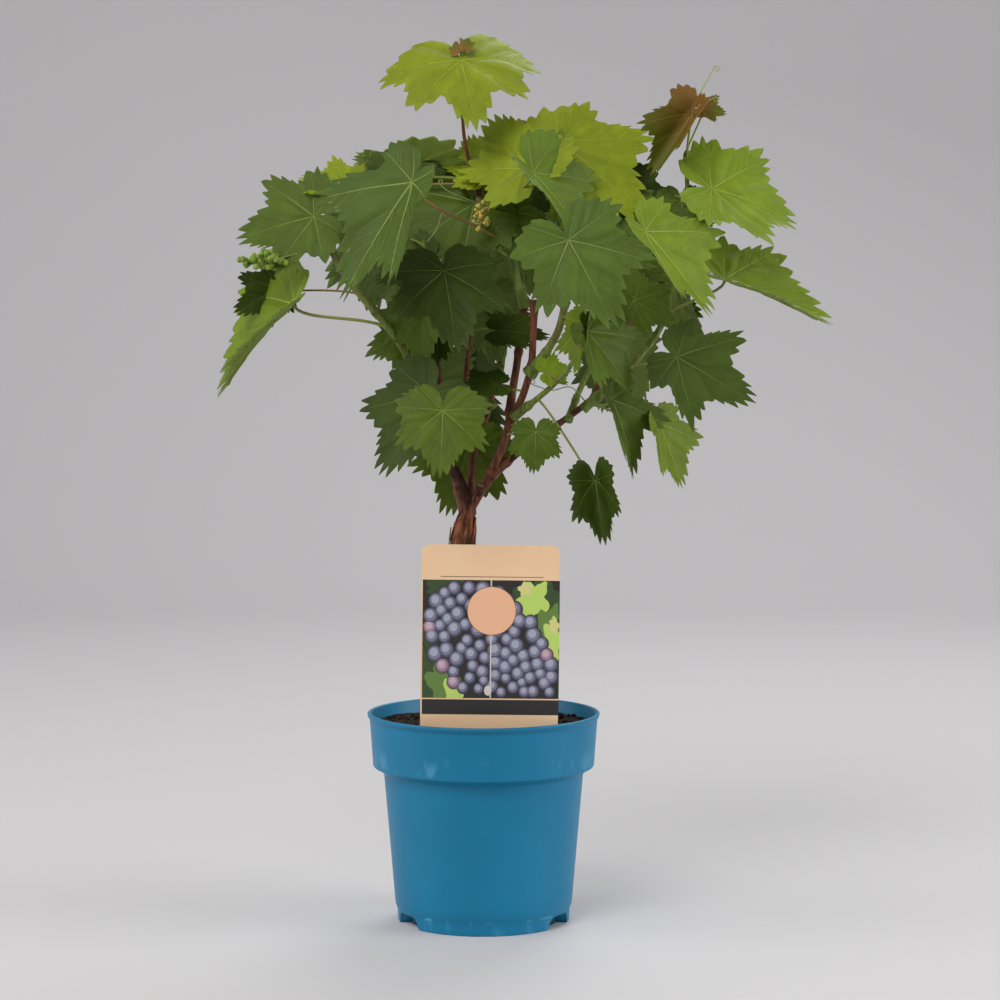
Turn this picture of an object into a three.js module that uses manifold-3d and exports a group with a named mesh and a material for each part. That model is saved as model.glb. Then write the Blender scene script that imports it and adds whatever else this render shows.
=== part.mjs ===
// A young grapevine in a nursery pot, about 643 mm tall.
// Millimetres, +Z up. The origin is the centre of the pot's flat underside, and -Y is the front.
// A thin-walled plastic pot holds the soil. A woody trunk rises from the soil and forks into pruned
// canes, which carry this year's shoots. Each mass of leaves is one closed, uneven solid.

import * as THREE from 'three';
import { mergeVertices } from 'three/addons/utils/BufferGeometryUtils.js';
import Module from 'manifold-3d';

const wasm = await Module();
wasm.setup();

// ---------------------------------------------------------------- driving dimensions

// the pot
const POT_HEIGHT = 153;
const LIP_RADIUS = 85;
const LIP_HEIGHT = 3.6;
const LIP_ROUNDING = 0.6;
const COLLAR_TOP_RADIUS = 83.4;
const COLLAR_BOTTOM_RADIUS = 80.9;
const COLLAR_BOTTOM = 115;
const SHOULDER_RADIUS = 73;
const SHOULDER_HEIGHT = 109;
const BASE_RADIUS = 62.8;
const POT_WALL = 1.6;
const POT_FLOOR = 2.2;
const STEP_SOFTENING = 1.2;
const FOOT_NOTCH = { width: 26, height: 9, depth: 16 };
const FOOT_NOTCH_ANGLES = [-152, -28, 90];
const DRAIN_CHANNEL = { inner: 41, outer: 55, height: 3, slope: 1.5 };

// the soil
const SOIL_LEVEL = 143;
const SOIL_UNEVENNESS = 1.6;
const SOIL_CLEARANCE = 0.7;

// the label card that stands in the soil behind the front of the rim
const CARD = {
  width: 98,
  top: 280.3,
  corner: 7,
  thickness: 0.9,
  x: 4,
  y: -58,
  shoulder: 146,
  shoulderDrop: 8,
  tongueWidth: 40,
  tongueEnd: 92,
  lean: 0.6,
};

// gaps between neighbours
const GAP = 0.45;
const LEAF_GAP = 0.6;

const POT_SIDES = 44;
const SOIL_SIDES = 30;
const TRUNK_SIDES = 12;
const LIMB_SIDES = 7;
const LIMB_STEP = 24;
const STALK_SIDES = 5;
const STALK_RADIUS = 1.2;

// ---------------------------------------------------------------- colours

const PAINT = {
  pot: new THREE.MeshStandardMaterial({ color: 0x2379a2, roughness: 0.45, metalness: 0 }),
  soil: new THREE.MeshStandardMaterial({ color: 0x2a211b, roughness: 1, metalness: 0 }),
  card: new THREE.MeshStandardMaterial({ color: 0xe9c3a0, roughness: 0.5, metalness: 0 }),
  bark: new THREE.MeshStandardMaterial({ color: 0x7a4a32, roughness: 0.9, metalness: 0 }),
  cane: new THREE.MeshStandardMaterial({ color: 0x6e3524, roughness: 0.6, metalness: 0 }),
  shoot: new THREE.MeshStandardMaterial({ color: 0x7f9a4c, roughness: 0.5, metalness: 0 }),
  leaf: new THREE.MeshStandardMaterial({ color: 0x4c7a33, roughness: 0.6, metalness: 0 }),
  young: new THREE.MeshStandardMaterial({ color: 0x97b03a, roughness: 0.6, metalness: 0 }),
  bronze: new THREE.MeshStandardMaterial({ color: 0x9a7a38, roughness: 0.6, metalness: 0 }),
};

// ---------------------------------------------------------------- solids and neighbours

// Bare closed geometry: positions only, with shared vertices merged.
function closed(geometry) {
  const bare = geometry.clone();
  bare.deleteAttribute('normal');
  bare.deleteAttribute('uv');
  return mergeVertices(bare, 1e-4);
}

function toManifold(geometry) {
  return new wasm.Manifold(new wasm.Mesh({
    numProp: 3,
    vertProperties: new Float32Array(geometry.attributes.position.array),
    triVerts: new Uint32Array(geometry.index.array),
  }));
}

function toGeometry(manifold) {
  const mesh = manifold.getMesh();
  const geometry = new THREE.BufferGeometry();
  geometry.setAttribute('position', new THREE.BufferAttribute(new Float32Array(mesh.vertProperties), 3));
  geometry.setIndex(new THREE.BufferAttribute(new Uint32Array(mesh.triVerts), 1));
  return geometry;
}

// The same closed surface pushed out along its normals, used to cut a neighbour with a gap.
function swollen(geometry, distance) {
  const fat = geometry.clone();
  fat.computeVertexNormals();
  const position = fat.attributes.position;
  const normal = fat.attributes.normal;
  for (let i = 0; i < position.count; i += 1) {
    position.setXYZ(
      i,
      position.getX(i) + normal.getX(i) * distance,
      position.getY(i) + normal.getY(i) * distance,
      position.getZ(i) + normal.getZ(i) * distance,
    );
  }
  fat.deleteAttribute('normal');
  return fat;
}

function largest(manifold) {
  const pieces = manifold.decompose();
  return pieces.reduce((best, piece) => (piece.volume() > best.volume() ? piece : best));
}

const plant = new THREE.Group();
const placed = [];

// Adds one named solid, first cut back from every earlier solid that it would touch.
function place(name, geometry, material, gap = GAP) {
  let solid = toManifold(geometry);
  geometry.computeBoundingBox();
  for (const neighbour of placed) {
    if (neighbour.box.intersectsBox(geometry.boundingBox)) {
      solid = solid.subtract(neighbour.cutter);
    }
  }
  const kept = toGeometry(largest(solid));
  const fat = swollen(kept, gap);
  fat.computeBoundingBox();
  placed.push({ box: fat.boundingBox, cutter: toManifold(fat) });
  kept.computeVertexNormals();
  const mesh = new THREE.Mesh(kept, material.clone());
  mesh.name = name;
  plant.add(mesh);
}

// Pseudo-random numbers from 0 to 1 that are the same every time.
function seeded(seed) {
  let state = seed * 7919 + 17;
  return () => {
    state = (state * 16807) % 2147483647;
    return (state - 1) / 2147483646;
  };
}

// ---------------------------------------------------------------- pot, soil and card

function potGeometry() {
  const outline = [
    [0, 0],
    [DRAIN_CHANNEL.inner, 0],
    [DRAIN_CHANNEL.inner + DRAIN_CHANNEL.slope, DRAIN_CHANNEL.height],
    [DRAIN_CHANNEL.outer - DRAIN_CHANNEL.slope, DRAIN_CHANNEL.height],
    [DRAIN_CHANNEL.outer, 0],
    [BASE_RADIUS, 0],
    [SHOULDER_RADIUS, SHOULDER_HEIGHT],
    [COLLAR_BOTTOM_RADIUS, COLLAR_BOTTOM],
    [COLLAR_TOP_RADIUS, POT_HEIGHT - LIP_HEIGHT],
    [LIP_RADIUS, POT_HEIGHT - LIP_HEIGHT + LIP_ROUNDING],
    [LIP_RADIUS, POT_HEIGHT - LIP_ROUNDING],
    [LIP_RADIUS - LIP_ROUNDING, POT_HEIGHT],
    [COLLAR_TOP_RADIUS - POT_WALL, POT_HEIGHT],
    [COLLAR_BOTTOM_RADIUS - POT_WALL, COLLAR_BOTTOM + STEP_SOFTENING],
    [SHOULDER_RADIUS - POT_WALL, SHOULDER_HEIGHT + STEP_SOFTENING],
    [BASE_RADIUS - POT_WALL, DRAIN_CHANNEL.height + POT_FLOOR],
    [0, DRAIN_CHANNEL.height + POT_FLOOR],
  ];
  return latheUpright(outline, POT_SIDES);
}

// A turned solid about +Z from (radius, height) pairs that start and end on the axis.
function latheUpright(outline, segments) {
  const points = outline.map(([radius, height]) => new THREE.Vector2(radius, height));
  const geometry = new THREE.LatheGeometry(points, segments);
  geometry.rotateX(Math.PI / 2);
  return closed(geometry);
}

// Three arched notches in the foot let water out of the drain channel.
function potSolid() {
  let solid = toManifold(potGeometry());
  for (const angle of FOOT_NOTCH_ANGLES) {
    const half = FOOT_NOTCH.width / 2;
    const arch = new THREE.Shape();
    arch.moveTo(-half, -2);
    arch.lineTo(half, -2);
    arch.lineTo(half, FOOT_NOTCH.height * 0.45);
    arch.quadraticCurveTo(half * 0.85, FOOT_NOTCH.height, 0, FOOT_NOTCH.height);
    arch.quadraticCurveTo(-half * 0.85, FOOT_NOTCH.height, -half, FOOT_NOTCH.height * 0.45);
    const block = new THREE.ExtrudeGeometry(arch, {
      depth: FOOT_NOTCH.depth,
      bevelEnabled: false,
      curveSegments: 6,
    });
    block.rotateX(Math.PI / 2);
    block.rotateZ(Math.PI / 2);
    block.translate(BASE_RADIUS - FOOT_NOTCH.depth / 2, 0, 0);
    block.rotateZ(THREE.MathUtils.degToRad(angle));
    solid = solid.subtract(toManifold(closed(block)));
  }
  return toGeometry(solid);
}

function soilGeometry() {
  const inside = POT_WALL + SOIL_CLEARANCE;
  const floor = DRAIN_CHANNEL.height + POT_FLOOR + SOIL_CLEARANCE;
  const top = COLLAR_TOP_RADIUS - inside - 0.6;
  const geometry = latheUpright([
    [0, floor],
    [BASE_RADIUS - inside, floor],
    [SHOULDER_RADIUS - inside, SHOULDER_HEIGHT + 1],
    [COLLAR_BOTTOM_RADIUS - inside, COLLAR_BOTTOM + 2],
    [top, SOIL_LEVEL - 1],
    [top * 0.78, SOIL_LEVEL],
    [top * 0.56, SOIL_LEVEL],
    [top * 0.34, SOIL_LEVEL],
    [0, SOIL_LEVEL],
  ], SOIL_SIDES);
  // the surface is level by the trunk and uneven further out
  const random = seeded(4);
  const position = geometry.attributes.position;
  for (let i = 0; i < position.count; i += 1) {
    const reach = Math.hypot(position.getX(i), position.getY(i)) / top;
    if (position.getZ(i) > SOIL_LEVEL - 0.5 && reach > 0.4) {
      position.setZ(i, position.getZ(i) + (random() * 2 - 1) * SOIL_UNEVENNESS);
    }
  }
  return geometry;
}

function cardGeometry(grow = 0) {
  const half = CARD.width / 2 + grow;
  const tongue = CARD.tongueWidth / 2 + grow;
  const top = CARD.top + grow;
  const outline = new THREE.Shape();
  outline.moveTo(-tongue, CARD.tongueEnd - grow);
  outline.lineTo(tongue, CARD.tongueEnd - grow);
  outline.lineTo(tongue, CARD.shoulder - CARD.shoulderDrop - grow);
  outline.lineTo(half, CARD.shoulder - grow);
  outline.lineTo(half, top - CARD.corner);
  outline.quadraticCurveTo(half, top, half - CARD.corner, top);
  outline.lineTo(-half + CARD.corner, top);
  outline.quadraticCurveTo(-half, top, -half, top - CARD.corner);
  outline.lineTo(-half, CARD.shoulder - grow);
  outline.lineTo(-tongue, CARD.shoulder - CARD.shoulderDrop - grow);
  const depth = CARD.thickness + grow * 2;
  const geometry = new THREE.ExtrudeGeometry(outline, { depth, bevelEnabled: false, curveSegments: 5 });
  geometry.rotateX(Math.PI / 2);
  geometry.translate(0, depth / 2, -CARD.top / 2);
  geometry.rotateY(THREE.MathUtils.degToRad(CARD.lean));
  geometry.translate(CARD.x, CARD.y, CARD.top / 2);
  return closed(geometry);
}

place('pot', potSolid(), PAINT.pot);
place('soil', toGeometry(toManifold(soilGeometry()).subtract(toManifold(cardGeometry(GAP)))), PAINT.soil);
place('label_card', cardGeometry(), PAINT.card);

// ---------------------------------------------------------------- trunk and canes

// A tapering limb along a smooth curve through its points. radii is a list of [share of length, radius].
function limbGeometry(points, radii, sides = LIMB_SIDES, step = LIMB_STEP) {
  const curve = new THREE.CatmullRomCurve3(points.map((p) => new THREE.Vector3(...p)), false, 'centripetal');
  const rings = Math.max(4, Math.round(curve.getLength() / step));
  const frames = curve.computeFrenetFrames(rings, false);
  const vertices = [];
  const faces = [];
  for (let ring = 0; ring <= rings; ring += 1) {
    const share = ring / rings;
    const centre = curve.getPointAt(share);
    const radius = radiusAt(radii, share);
    for (let side = 0; side < sides; side += 1) {
      const angle = (side / sides) * Math.PI * 2;
      const spoke = frames.normals[ring].clone().multiplyScalar(Math.cos(angle) * radius)
        .addScaledVector(frames.binormals[ring], Math.sin(angle) * radius);
      vertices.push(...centre.clone().add(spoke).toArray());
    }
  }
  for (let ring = 0; ring < rings; ring += 1) {
    for (let side = 0; side < sides; side += 1) {
      const a = ring * sides + side;
      const b = ring * sides + (side + 1) % sides;
      faces.push(a, b, b + sides, a, b + sides, a + sides);
    }
  }
  const first = vertices.length / 3;
  vertices.push(...curve.getPointAt(0).toArray(), ...curve.getPointAt(1).toArray());
  for (let side = 0; side < sides; side += 1) {
    const next = (side + 1) % sides;
    faces.push(first, next, side, first + 1, rings * sides + side, rings * sides + next);
  }
  return indexed(vertices, faces);
}

function radiusAt(radii, share) {
  for (let i = 1; i < radii.length; i += 1) {
    const [from, low] = radii[i - 1];
    const [to, high] = radii[i];
    if (share <= to) {
      return low + (high - low) * ((share - from) / (to - from));
    }
  }
  return radii[radii.length - 1][1];
}

function indexed(vertices, faces) {
  const geometry = new THREE.BufferGeometry();
  geometry.setAttribute('position', new THREE.BufferAttribute(new Float32Array(vertices), 3));
  geometry.setIndex(faces);
  return geometry;
}

// The trunk: a root flare at the soil, a lean to the left, then back in to the fork.
const TRUNK_FOOT = SOIL_LEVEL + 0.4;
const TRUNK_STEP = 13;
const TRUNK_PATH = [
  [-6, 0, TRUNK_FOOT - 6], [-8, 0, 160], [-13, 0, 215], [-16, 0, 268], [-13, 0, 292], [-9, 0, 309],
];
const TRUNK_RADII = [[0, 15], [0.07, 13.5], [0.16, 10.6], [0.5, 9.4], [0.82, 9.2], [0.93, 8], [1, 5]];

// The trunk, cut flat where it leaves the soil.
function trunkGeometry() {
  const tube = toManifold(limbGeometry(TRUNK_PATH, TRUNK_RADII, TRUNK_SIDES, TRUNK_STEP));
  const below = new THREE.BoxGeometry(POT_HEIGHT, POT_HEIGHT, POT_HEIGHT);
  below.translate(0, 0, TRUNK_FOOT - POT_HEIGHT / 2);
  return toGeometry(tube.subtract(toManifold(closed(below))));
}

place('trunk', trunkGeometry(), PAINT.bark);

// Canes are last year's red-brown wood; shoots are this year's green growth.
// Each runs from inside its parent, which it is cut back from, to its tip.
const LIMBS = [
  { name: 'main_cane', paint: 'cane', radii: [[0, 4.2], [0.5, 3.4], [0.92, 3], [1, 3.6]],
    path: [[-9, 0, 303], [8, -4, 333], [20, -8, 366], [31, -12, 391], [34, -14, 403], [37, -15, 454]] },
  { name: 'second_cane', paint: 'cane', radii: [[0, 3.6], [1, 3.1]],
    path: [[17, -6, 357], [21, 6, 388], [26, 12, 417], [30, 14, 456]] },
  { name: 'right_cane', paint: 'cane', radii: [[0, 3.4], [1, 2.7]],
    path: [[7, -3, 329], [26, 5, 343], [48, 10, 359], [63, 10, 369], [79, 10, 381]] },
  { name: 'left_cane', paint: 'cane', radii: [[0, 4], [0.3, 3.4], [1, 2.6]],
    path: [[-14, 1, 300], [-21, 4, 326], [-28, 8, 362], [-33, 8, 401], [-35, 6, 419]] },
  { name: 'back_cane', paint: 'cane', radii: [[0, 3.6], [1, 2.6]],
    path: [[-10, 4, 300], [-8, 24, 338], [4, 44, 374], [12, 56, 408]] },
  { name: 'thin_cane', paint: 'cane', radii: [[0, 2.2], [1, 1.8]],
    path: [[-24, 8, 340], [-16, 16, 372], [-13, 16, 401], [-8, 12, 440], [-5, 8, 466]] },
  { name: 'right_cane_tip', paint: 'cane', radii: [[0, 2.5], [1, 1.9]],
    path: [[78, 13, 380], [93, 16, 408], [108, 16, 437], [113, 18, 456]] },
  { name: 'crown_shoot', paint: 'shoot', radii: [[0, 3.4], [1, 2.5]],
    path: [[29, 13, 452], [26, 12, 462], [22, 10, 478], [17, 6, 496], [9, 2, 512], [-4, 2, 528]] },
  { name: 'top_shoot', paint: 'cane', radii: [[0, 2.1], [1, 1.4]],
    path: [[-3, 2, 526], [-8, 2, 543], [-14, 0, 572], [-15, -3, 584]] },
  { name: 'centre_shoot', paint: 'shoot', radii: [[0, 3], [1, 2.6]],
    path: [[33, -13, 400], [39, -18, 410], [49, -25, 420], [56, -34, 440], [62, -44, 470]] },
  { name: 'front_shoot', paint: 'shoot', radii: [[0, 2.2], [1, 1.7]],
    path: [[25, -10, 372], [45, -28, 388], [60, -44, 404], [72, -58, 424]] },
  { name: 'left_shoot', paint: 'shoot', radii: [[0, 3.2], [1, 2.7]],
    path: [[-28, 7, 364], [-42, -4, 392], [-54, -8, 412], [-67, -12, 432], [-98, -18, 470], [-112, -20, 496]] },
  { name: 'left_upper_shoot', paint: 'shoot', radii: [[0, 2.3], [1, 1.6]],
    path: [[-34, 7, 414], [-31, 4, 432], [-34, -6, 462], [-42, -24, 496]] },
  { name: 'right_shoot', paint: 'shoot', radii: [[0, 2.8], [0.6, 2.2], [1, 1.4]],
    path: [[77, 6, 378], [100, 3, 399], [119, 2, 420], [129, 2, 434], [139, 5, 462], [147, 8, 500],
      [148, 8, 530], [147, 6, 560]] },
  { name: 'back_shoot', paint: 'shoot', radii: [[0, 2.6], [1, 1.6]],
    path: [[12, 56, 404], [18, 72, 440], [26, 84, 480], [30, 88, 524]] },
  { name: 'back_left_shoot', paint: 'shoot', radii: [[0, 2.4], [1, 1.6]],
    path: [[5, 46, 378], [-18, 66, 408], [-42, 86, 436], [-60, 102, 470], [-66, 106, 492]] },
  { name: 'back_right_shoot', paint: 'shoot', radii: [[0, 2.4], [1, 1.6]],
    path: [[63, 10, 369], [72, 34, 390], [88, 64, 420], [102, 88, 456]] },
];

for (const limb of LIMBS) {
  place(limb.name, limbGeometry(limb.path, limb.radii), PAINT[limb.paint]);
}

// ---------------------------------------------------------------- masses of leaves

const OUTLINE_STEPS = 15;
const SHOULDER_SHARE = 0.64;
const MASS_REACH = 0.92;
const MASS_RAGGEDNESS = 0.07;
const MASS_LUMPINESS = 0.3;
const STALK_ARCH = 5;

// A lens-shaped cushion with five soft lobes. It lies in a plane that faces [azimuth, elevation], where
// azimuth 0 faces the front, and its tip points turn degrees clockwise from up. across, along and thick
// are half sizes. bow is how far its rim droops back. stalk is where its leaf stalk starts.
function leafMass({
  at, face, turn = 180, across, along, thick, lobes = 0.13, bow = 0, seed = 1, stalk = null,
}) {
  const random = seeded(seed);
  const [azimuth, elevation] = face.map(THREE.MathUtils.degToRad);
  const clock = THREE.MathUtils.degToRad(turn);
  const out = new THREE.Vector3(
    Math.sin(azimuth) * Math.cos(elevation),
    -Math.cos(azimuth) * Math.cos(elevation),
    Math.sin(elevation),
  );
  const up = new THREE.Vector3(0, 0, 1).addScaledVector(out, -out.z).normalize();
  const right = up.clone().cross(out);
  const tip = up.clone().multiplyScalar(Math.cos(clock)).addScaledVector(right, Math.sin(clock));
  const side = out.clone().cross(tip);
  const centre = new THREE.Vector3(...at);
  const point = (u, v, w) => centre.clone()
    .addScaledVector(tip, u * along)
    .addScaledVector(side, v * across)
    .addScaledVector(out, w - bow * (u * u + v * v))
    .toArray();

  const reach = [];
  for (let i = 0; i < OUTLINE_STEPS; i += 1) {
    const angle = (i / OUTLINE_STEPS) * Math.PI * 2;
    reach.push(MASS_REACH + lobes * Math.cos(5 * angle) * 0.8 + (random() * 2 - 1) * MASS_RAGGEDNESS);
  }
  const vertices = [];
  const faces = [];
  const ringPoints = (share, height) => {
    const start = vertices.length / 3;
    for (let i = 0; i < OUTLINE_STEPS; i += 1) {
      const angle = (i / OUTLINE_STEPS) * Math.PI * 2;
      const r = reach[i] * share;
      const w = height * (1 + (random() * 2 - 1) * MASS_LUMPINESS);
      vertices.push(...point(Math.cos(angle) * r, Math.sin(angle) * r, w));
    }
    return start;
  };
  const join = (inner, outer, flip) => {
    for (let i = 0; i < OUTLINE_STEPS; i += 1) {
      const next = (i + 1) % OUTLINE_STEPS;
      const quad = [inner + i, outer + i, outer + next, inner + next];
      if (flip) {
        quad.reverse();
      }
      faces.push(quad[0], quad[1], quad[2], quad[0], quad[2], quad[3]);
    }
  };
  const rim = ringPoints(1, 0);
  for (const layer of [1, -1]) {
    const flip = layer < 0;
    const shoulder = ringPoints(SHOULDER_SHARE, layer * thick * Math.sqrt(1 - SHOULDER_SHARE ** 2));
    join(shoulder, rim, flip);
    const middle = vertices.length / 3;
    vertices.push(...point(0, 0, layer * thick));
    for (let i = 0; i < OUTLINE_STEPS; i += 1) {
      const next = (i + 1) % OUTLINE_STEPS;
      faces.push(middle, shoulder + (flip ? next : i), shoulder + (flip ? i : next));
    }
  }
  const cushion = indexed(vertices, faces);
  if (!stalk) {
    return cushion;
  }
  const middle = new THREE.Vector3(...stalk).lerp(centre, 0.5).add(new THREE.Vector3(0, 0, STALK_ARCH));
  const tube = limbGeometry([stalk, middle.toArray(), at], [[0, STALK_RADIUS], [1, STALK_RADIUS]], STALK_SIDES);
  return toGeometry(toManifold(cushion).add(toManifold(tube)));
}

const MASSES = [
  // the top of the crown
  { name: 'leaves_top', paint: 'young', at: [-14, -10, 616], face: [0, 38], turn: 0,
    across: 57, along: 44, thick: 5, bow: 12, lobes: 0.16, seed: 1 },
  { name: 'leaves_upper_middle', at: [16, -18, 560], face: [-18, 38], turn: 200,
    across: 44, along: 36, thick: 12, bow: 6, seed: 2 },
  { name: 'leaves_upper_front', at: [47, -44, 544], face: [22, 30], turn: 145,
    across: 30, along: 38, thick: 6, bow: 5, seed: 3 },
  { name: 'leaves_upper_right', paint: 'young', at: [82, 6, 562], face: [10, 38], turn: 120,
    across: 42, along: 42, thick: 8, bow: 8, seed: 4 },
  // the left of the crown
  { name: 'leaves_front_left', at: [-84, -102, 515], face: [-22, 24], turn: 220,
    across: 46, along: 64, thick: 6, bow: 6, seed: 5, stalk: [0, -6, 478] },
  { name: 'leaves_left', at: [-140, -14, 515], face: [-14, 30], turn: 262,
    across: 36, along: 42, thick: 7, bow: 6, seed: 6 },
  { name: 'leaves_far_left', at: [-166, -18, 432], face: [-56, 26], turn: 205,
    across: 26, along: 62, thick: 5, bow: 4, seed: 7, stalk: [-68, -12, 434] },
  { name: 'leaves_left_behind', at: [-158, 18, 462], face: [10, 0], turn: 180,
    across: 22, along: 28, thick: 6, seed: 8 },
  { name: 'leaves_middle_left', at: [-30, -48, 460], face: [6, 36], turn: 180,
    across: 46, along: 42, thick: 7, bow: 7, seed: 9 },
  { name: 'leaves_behind_left', at: [-36, 6, 520], face: [-10, 25], turn: 240,
    across: 34, along: 42, thick: 8, bow: 5, seed: 10 },
  // the right of the crown
  { name: 'leaves_front_right', at: [68, -108, 469], face: [4, 18], turn: 150,
    across: 48, along: 46, thick: 6, bow: 8, seed: 11, stalk: [62, -42, 466] },
  { name: 'leaves_right_middle', at: [126, -46, 492], face: [40, 28], turn: 150,
    across: 30, along: 54, thick: 7, bow: 5, seed: 12 },
  { name: 'leaves_right_tip', paint: 'bronze', at: [141, 4, 586], face: [0, 38], turn: 218,
    across: 25, along: 38, thick: 4, bow: 5, seed: 13 },
  { name: 'leaves_right_high', at: [184, -6, 530], face: [22, 40], turn: 125,
    across: 36, along: 42, thick: 5, bow: 10, seed: 14, stalk: [147, 8, 528] },
  { name: 'leaves_far_right', at: [201, 0, 474], face: [30, 48], turn: 122,
    across: 25, along: 52, thick: 4.5, bow: 5, seed: 15, stalk: [131, 2, 438] },
  { name: 'leaves_right_low', at: [155, -62, 402], face: [8, 20], turn: 150,
    across: 38, along: 36, thick: 5, bow: 6, seed: 16, stalk: [124, 0, 428] },
  { name: 'leaves_right_inner', at: [98, -72, 414], face: [10, 25], turn: 140,
    across: 26, along: 34, thick: 6, bow: 5, seed: 17 },
  { name: 'leaves_right_behind', at: [128, 14, 478], face: [20, 10], turn: 180,
    across: 30, along: 34, thick: 8, seed: 18 },
  { name: 'leaves_middle_behind', at: [84, 20, 508], face: [5, 18], turn: 150,
    across: 34, along: 38, thick: 8, bow: 4, seed: 19 },
  // the low leaves
  { name: 'leaves_small_low', at: [37, -62, 347], face: [0, 12], turn: 183,
    across: 18, along: 17, thick: 4, bow: 3, seed: 20, stalk: [44, -24, 387] },
  { name: 'leaves_hanging_low', at: [80, -78, 311], face: [-12, 6], turn: 168,
    across: 18, along: 33, thick: 4.5, bow: 3, seed: 21, stalk: [48, 8, 357] },
  { name: 'leaves_low_right', at: [112, -42, 353], face: [46, 16], turn: 155,
    across: 22, along: 32, thick: 5, bow: 4, seed: 22, stalk: [79, 8, 381] },
  { name: 'leaves_low_far_right', at: [141, -18, 352], face: [36, 14], turn: 155,
    across: 21, along: 30, thick: 4.5, bow: 3, seed: 23, stalk: [81, 10, 381] },
  { name: 'leaves_low_left', at: [-56, -46, 370], face: [-24, 20], turn: 215,
    across: 32, along: 42, thick: 7, bow: 5, seed: 24, stalk: [-34, 6, 410] },
  { name: 'leaves_low_front', at: [-27, -84, 372], face: [0, 22], turn: 180,
    across: 32, along: 38, thick: 6, bow: 6, seed: 25, stalk: [-29, 2, 364] },
  { name: 'leaves_low_behind', at: [-12, 34, 330], face: [0, 10], turn: 200,
    across: 32, along: 28, thick: 8, bow: 3, seed: 26, stalk: [-6, 26, 344] },
  { name: 'leaves_inner', at: [-4, 40, 424], face: [175, 10], turn: 185,
    across: 34, along: 36, thick: 9, bow: 4, seed: 27 },
  { name: 'leaves_inner_left', at: [-58, 4, 428], face: [-30, 20], turn: 180,
    across: 26, along: 30, thick: 7, bow: 4, seed: 28 },
  // the back of the crown
  { name: 'leaves_back_high', at: [32, 92, 540], face: [170, 38], turn: 180,
    across: 46, along: 42, thick: 9, bow: 8, seed: 29 },
  { name: 'leaves_back_left_high', at: [-52, 58, 540], face: [205, 34], turn: 165,
    across: 46, along: 46, thick: 9, bow: 8, seed: 30, stalk: [-4, 3, 526] },
  { name: 'leaves_back_left', at: [-78, 112, 492], face: [210, 24], turn: 185,
    across: 48, along: 48, thick: 8, bow: 8, seed: 31 },
  { name: 'leaves_back_middle', at: [10, 134, 480], face: [178, 22], turn: 180,
    across: 44, along: 44, thick: 8, bow: 7, seed: 32 },
  { name: 'leaves_back_right', at: [108, 108, 470], face: [150, 24], turn: 175,
    across: 46, along: 48, thick: 8, bow: 8, seed: 33 },
  { name: 'leaves_back_low_left', at: [-50, 78, 378], face: [200, 18], turn: 190,
    across: 38, along: 40, thick: 7, bow: 6, seed: 34, stalk: [2, 42, 376] },
  { name: 'leaves_back_low_right', at: [108, 84, 388], face: [140, 18], turn: 175,
    across: 38, along: 42, thick: 7, bow: 6, seed: 35, stalk: [73, 37, 392] },
  { name: 'leaves_right_side', at: [176, 62, 448], face: [100, 26], turn: 180,
    across: 34, along: 38, thick: 7, bow: 6, seed: 36, stalk: [133, 3, 446] },
];

for (const { name, paint = 'leaf', ...shape } of MASSES) {
  place(name, leafMass(shape), PAINT[paint], LEAF_GAP);
}

export default plant;
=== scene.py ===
# A young grapevine in a blue nursery pot, with peat, a label card, a woody trunk, pruned canes, green
# shoots and an open crown of lobed leaves. Metres, +Z up, and -Y is the front.
import itertools
import math

import bpy
import numpy as np
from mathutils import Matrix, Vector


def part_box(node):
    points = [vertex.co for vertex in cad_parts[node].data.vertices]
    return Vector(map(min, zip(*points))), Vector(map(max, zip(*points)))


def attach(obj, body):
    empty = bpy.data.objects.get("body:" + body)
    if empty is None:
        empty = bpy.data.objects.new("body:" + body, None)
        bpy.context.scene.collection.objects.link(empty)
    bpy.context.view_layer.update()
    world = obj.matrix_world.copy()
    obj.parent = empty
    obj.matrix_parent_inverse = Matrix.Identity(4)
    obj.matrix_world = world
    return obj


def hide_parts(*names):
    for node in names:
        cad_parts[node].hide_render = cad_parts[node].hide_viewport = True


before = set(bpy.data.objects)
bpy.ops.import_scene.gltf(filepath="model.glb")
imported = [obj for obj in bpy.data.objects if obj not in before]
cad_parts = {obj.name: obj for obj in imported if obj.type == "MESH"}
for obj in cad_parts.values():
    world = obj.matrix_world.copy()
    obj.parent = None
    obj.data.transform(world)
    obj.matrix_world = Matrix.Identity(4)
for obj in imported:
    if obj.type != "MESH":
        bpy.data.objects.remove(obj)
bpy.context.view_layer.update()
MM = 0.001


# ---- Camera, floor and light -------------------------------------------------------------------
# A pale floor that curves up into a plain backdrop, a broad soft light from above the front, weaker
# ones from each side and from behind, and a camera with a long lens at about the crown's middle.

CAMERA_PLACE = (0.012, -2.020, 0.440)
CAMERA_PITCH = 3.73
LENS = 100.0
BACKDROP_AWAY = 3.2
FLOOR_REACH = 16.0
BACKDROP_HEIGHT = 3.4
BACKDROP_BEND = 1.1
BEND_STEPS = 12
SKY = (0.62, 0.62, 0.64, 1.0)
SKY_STRENGTH = 0.60
LIT_MIDDLE = (0.0, 0.0, 0.35)

scene = bpy.context.scene


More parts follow.
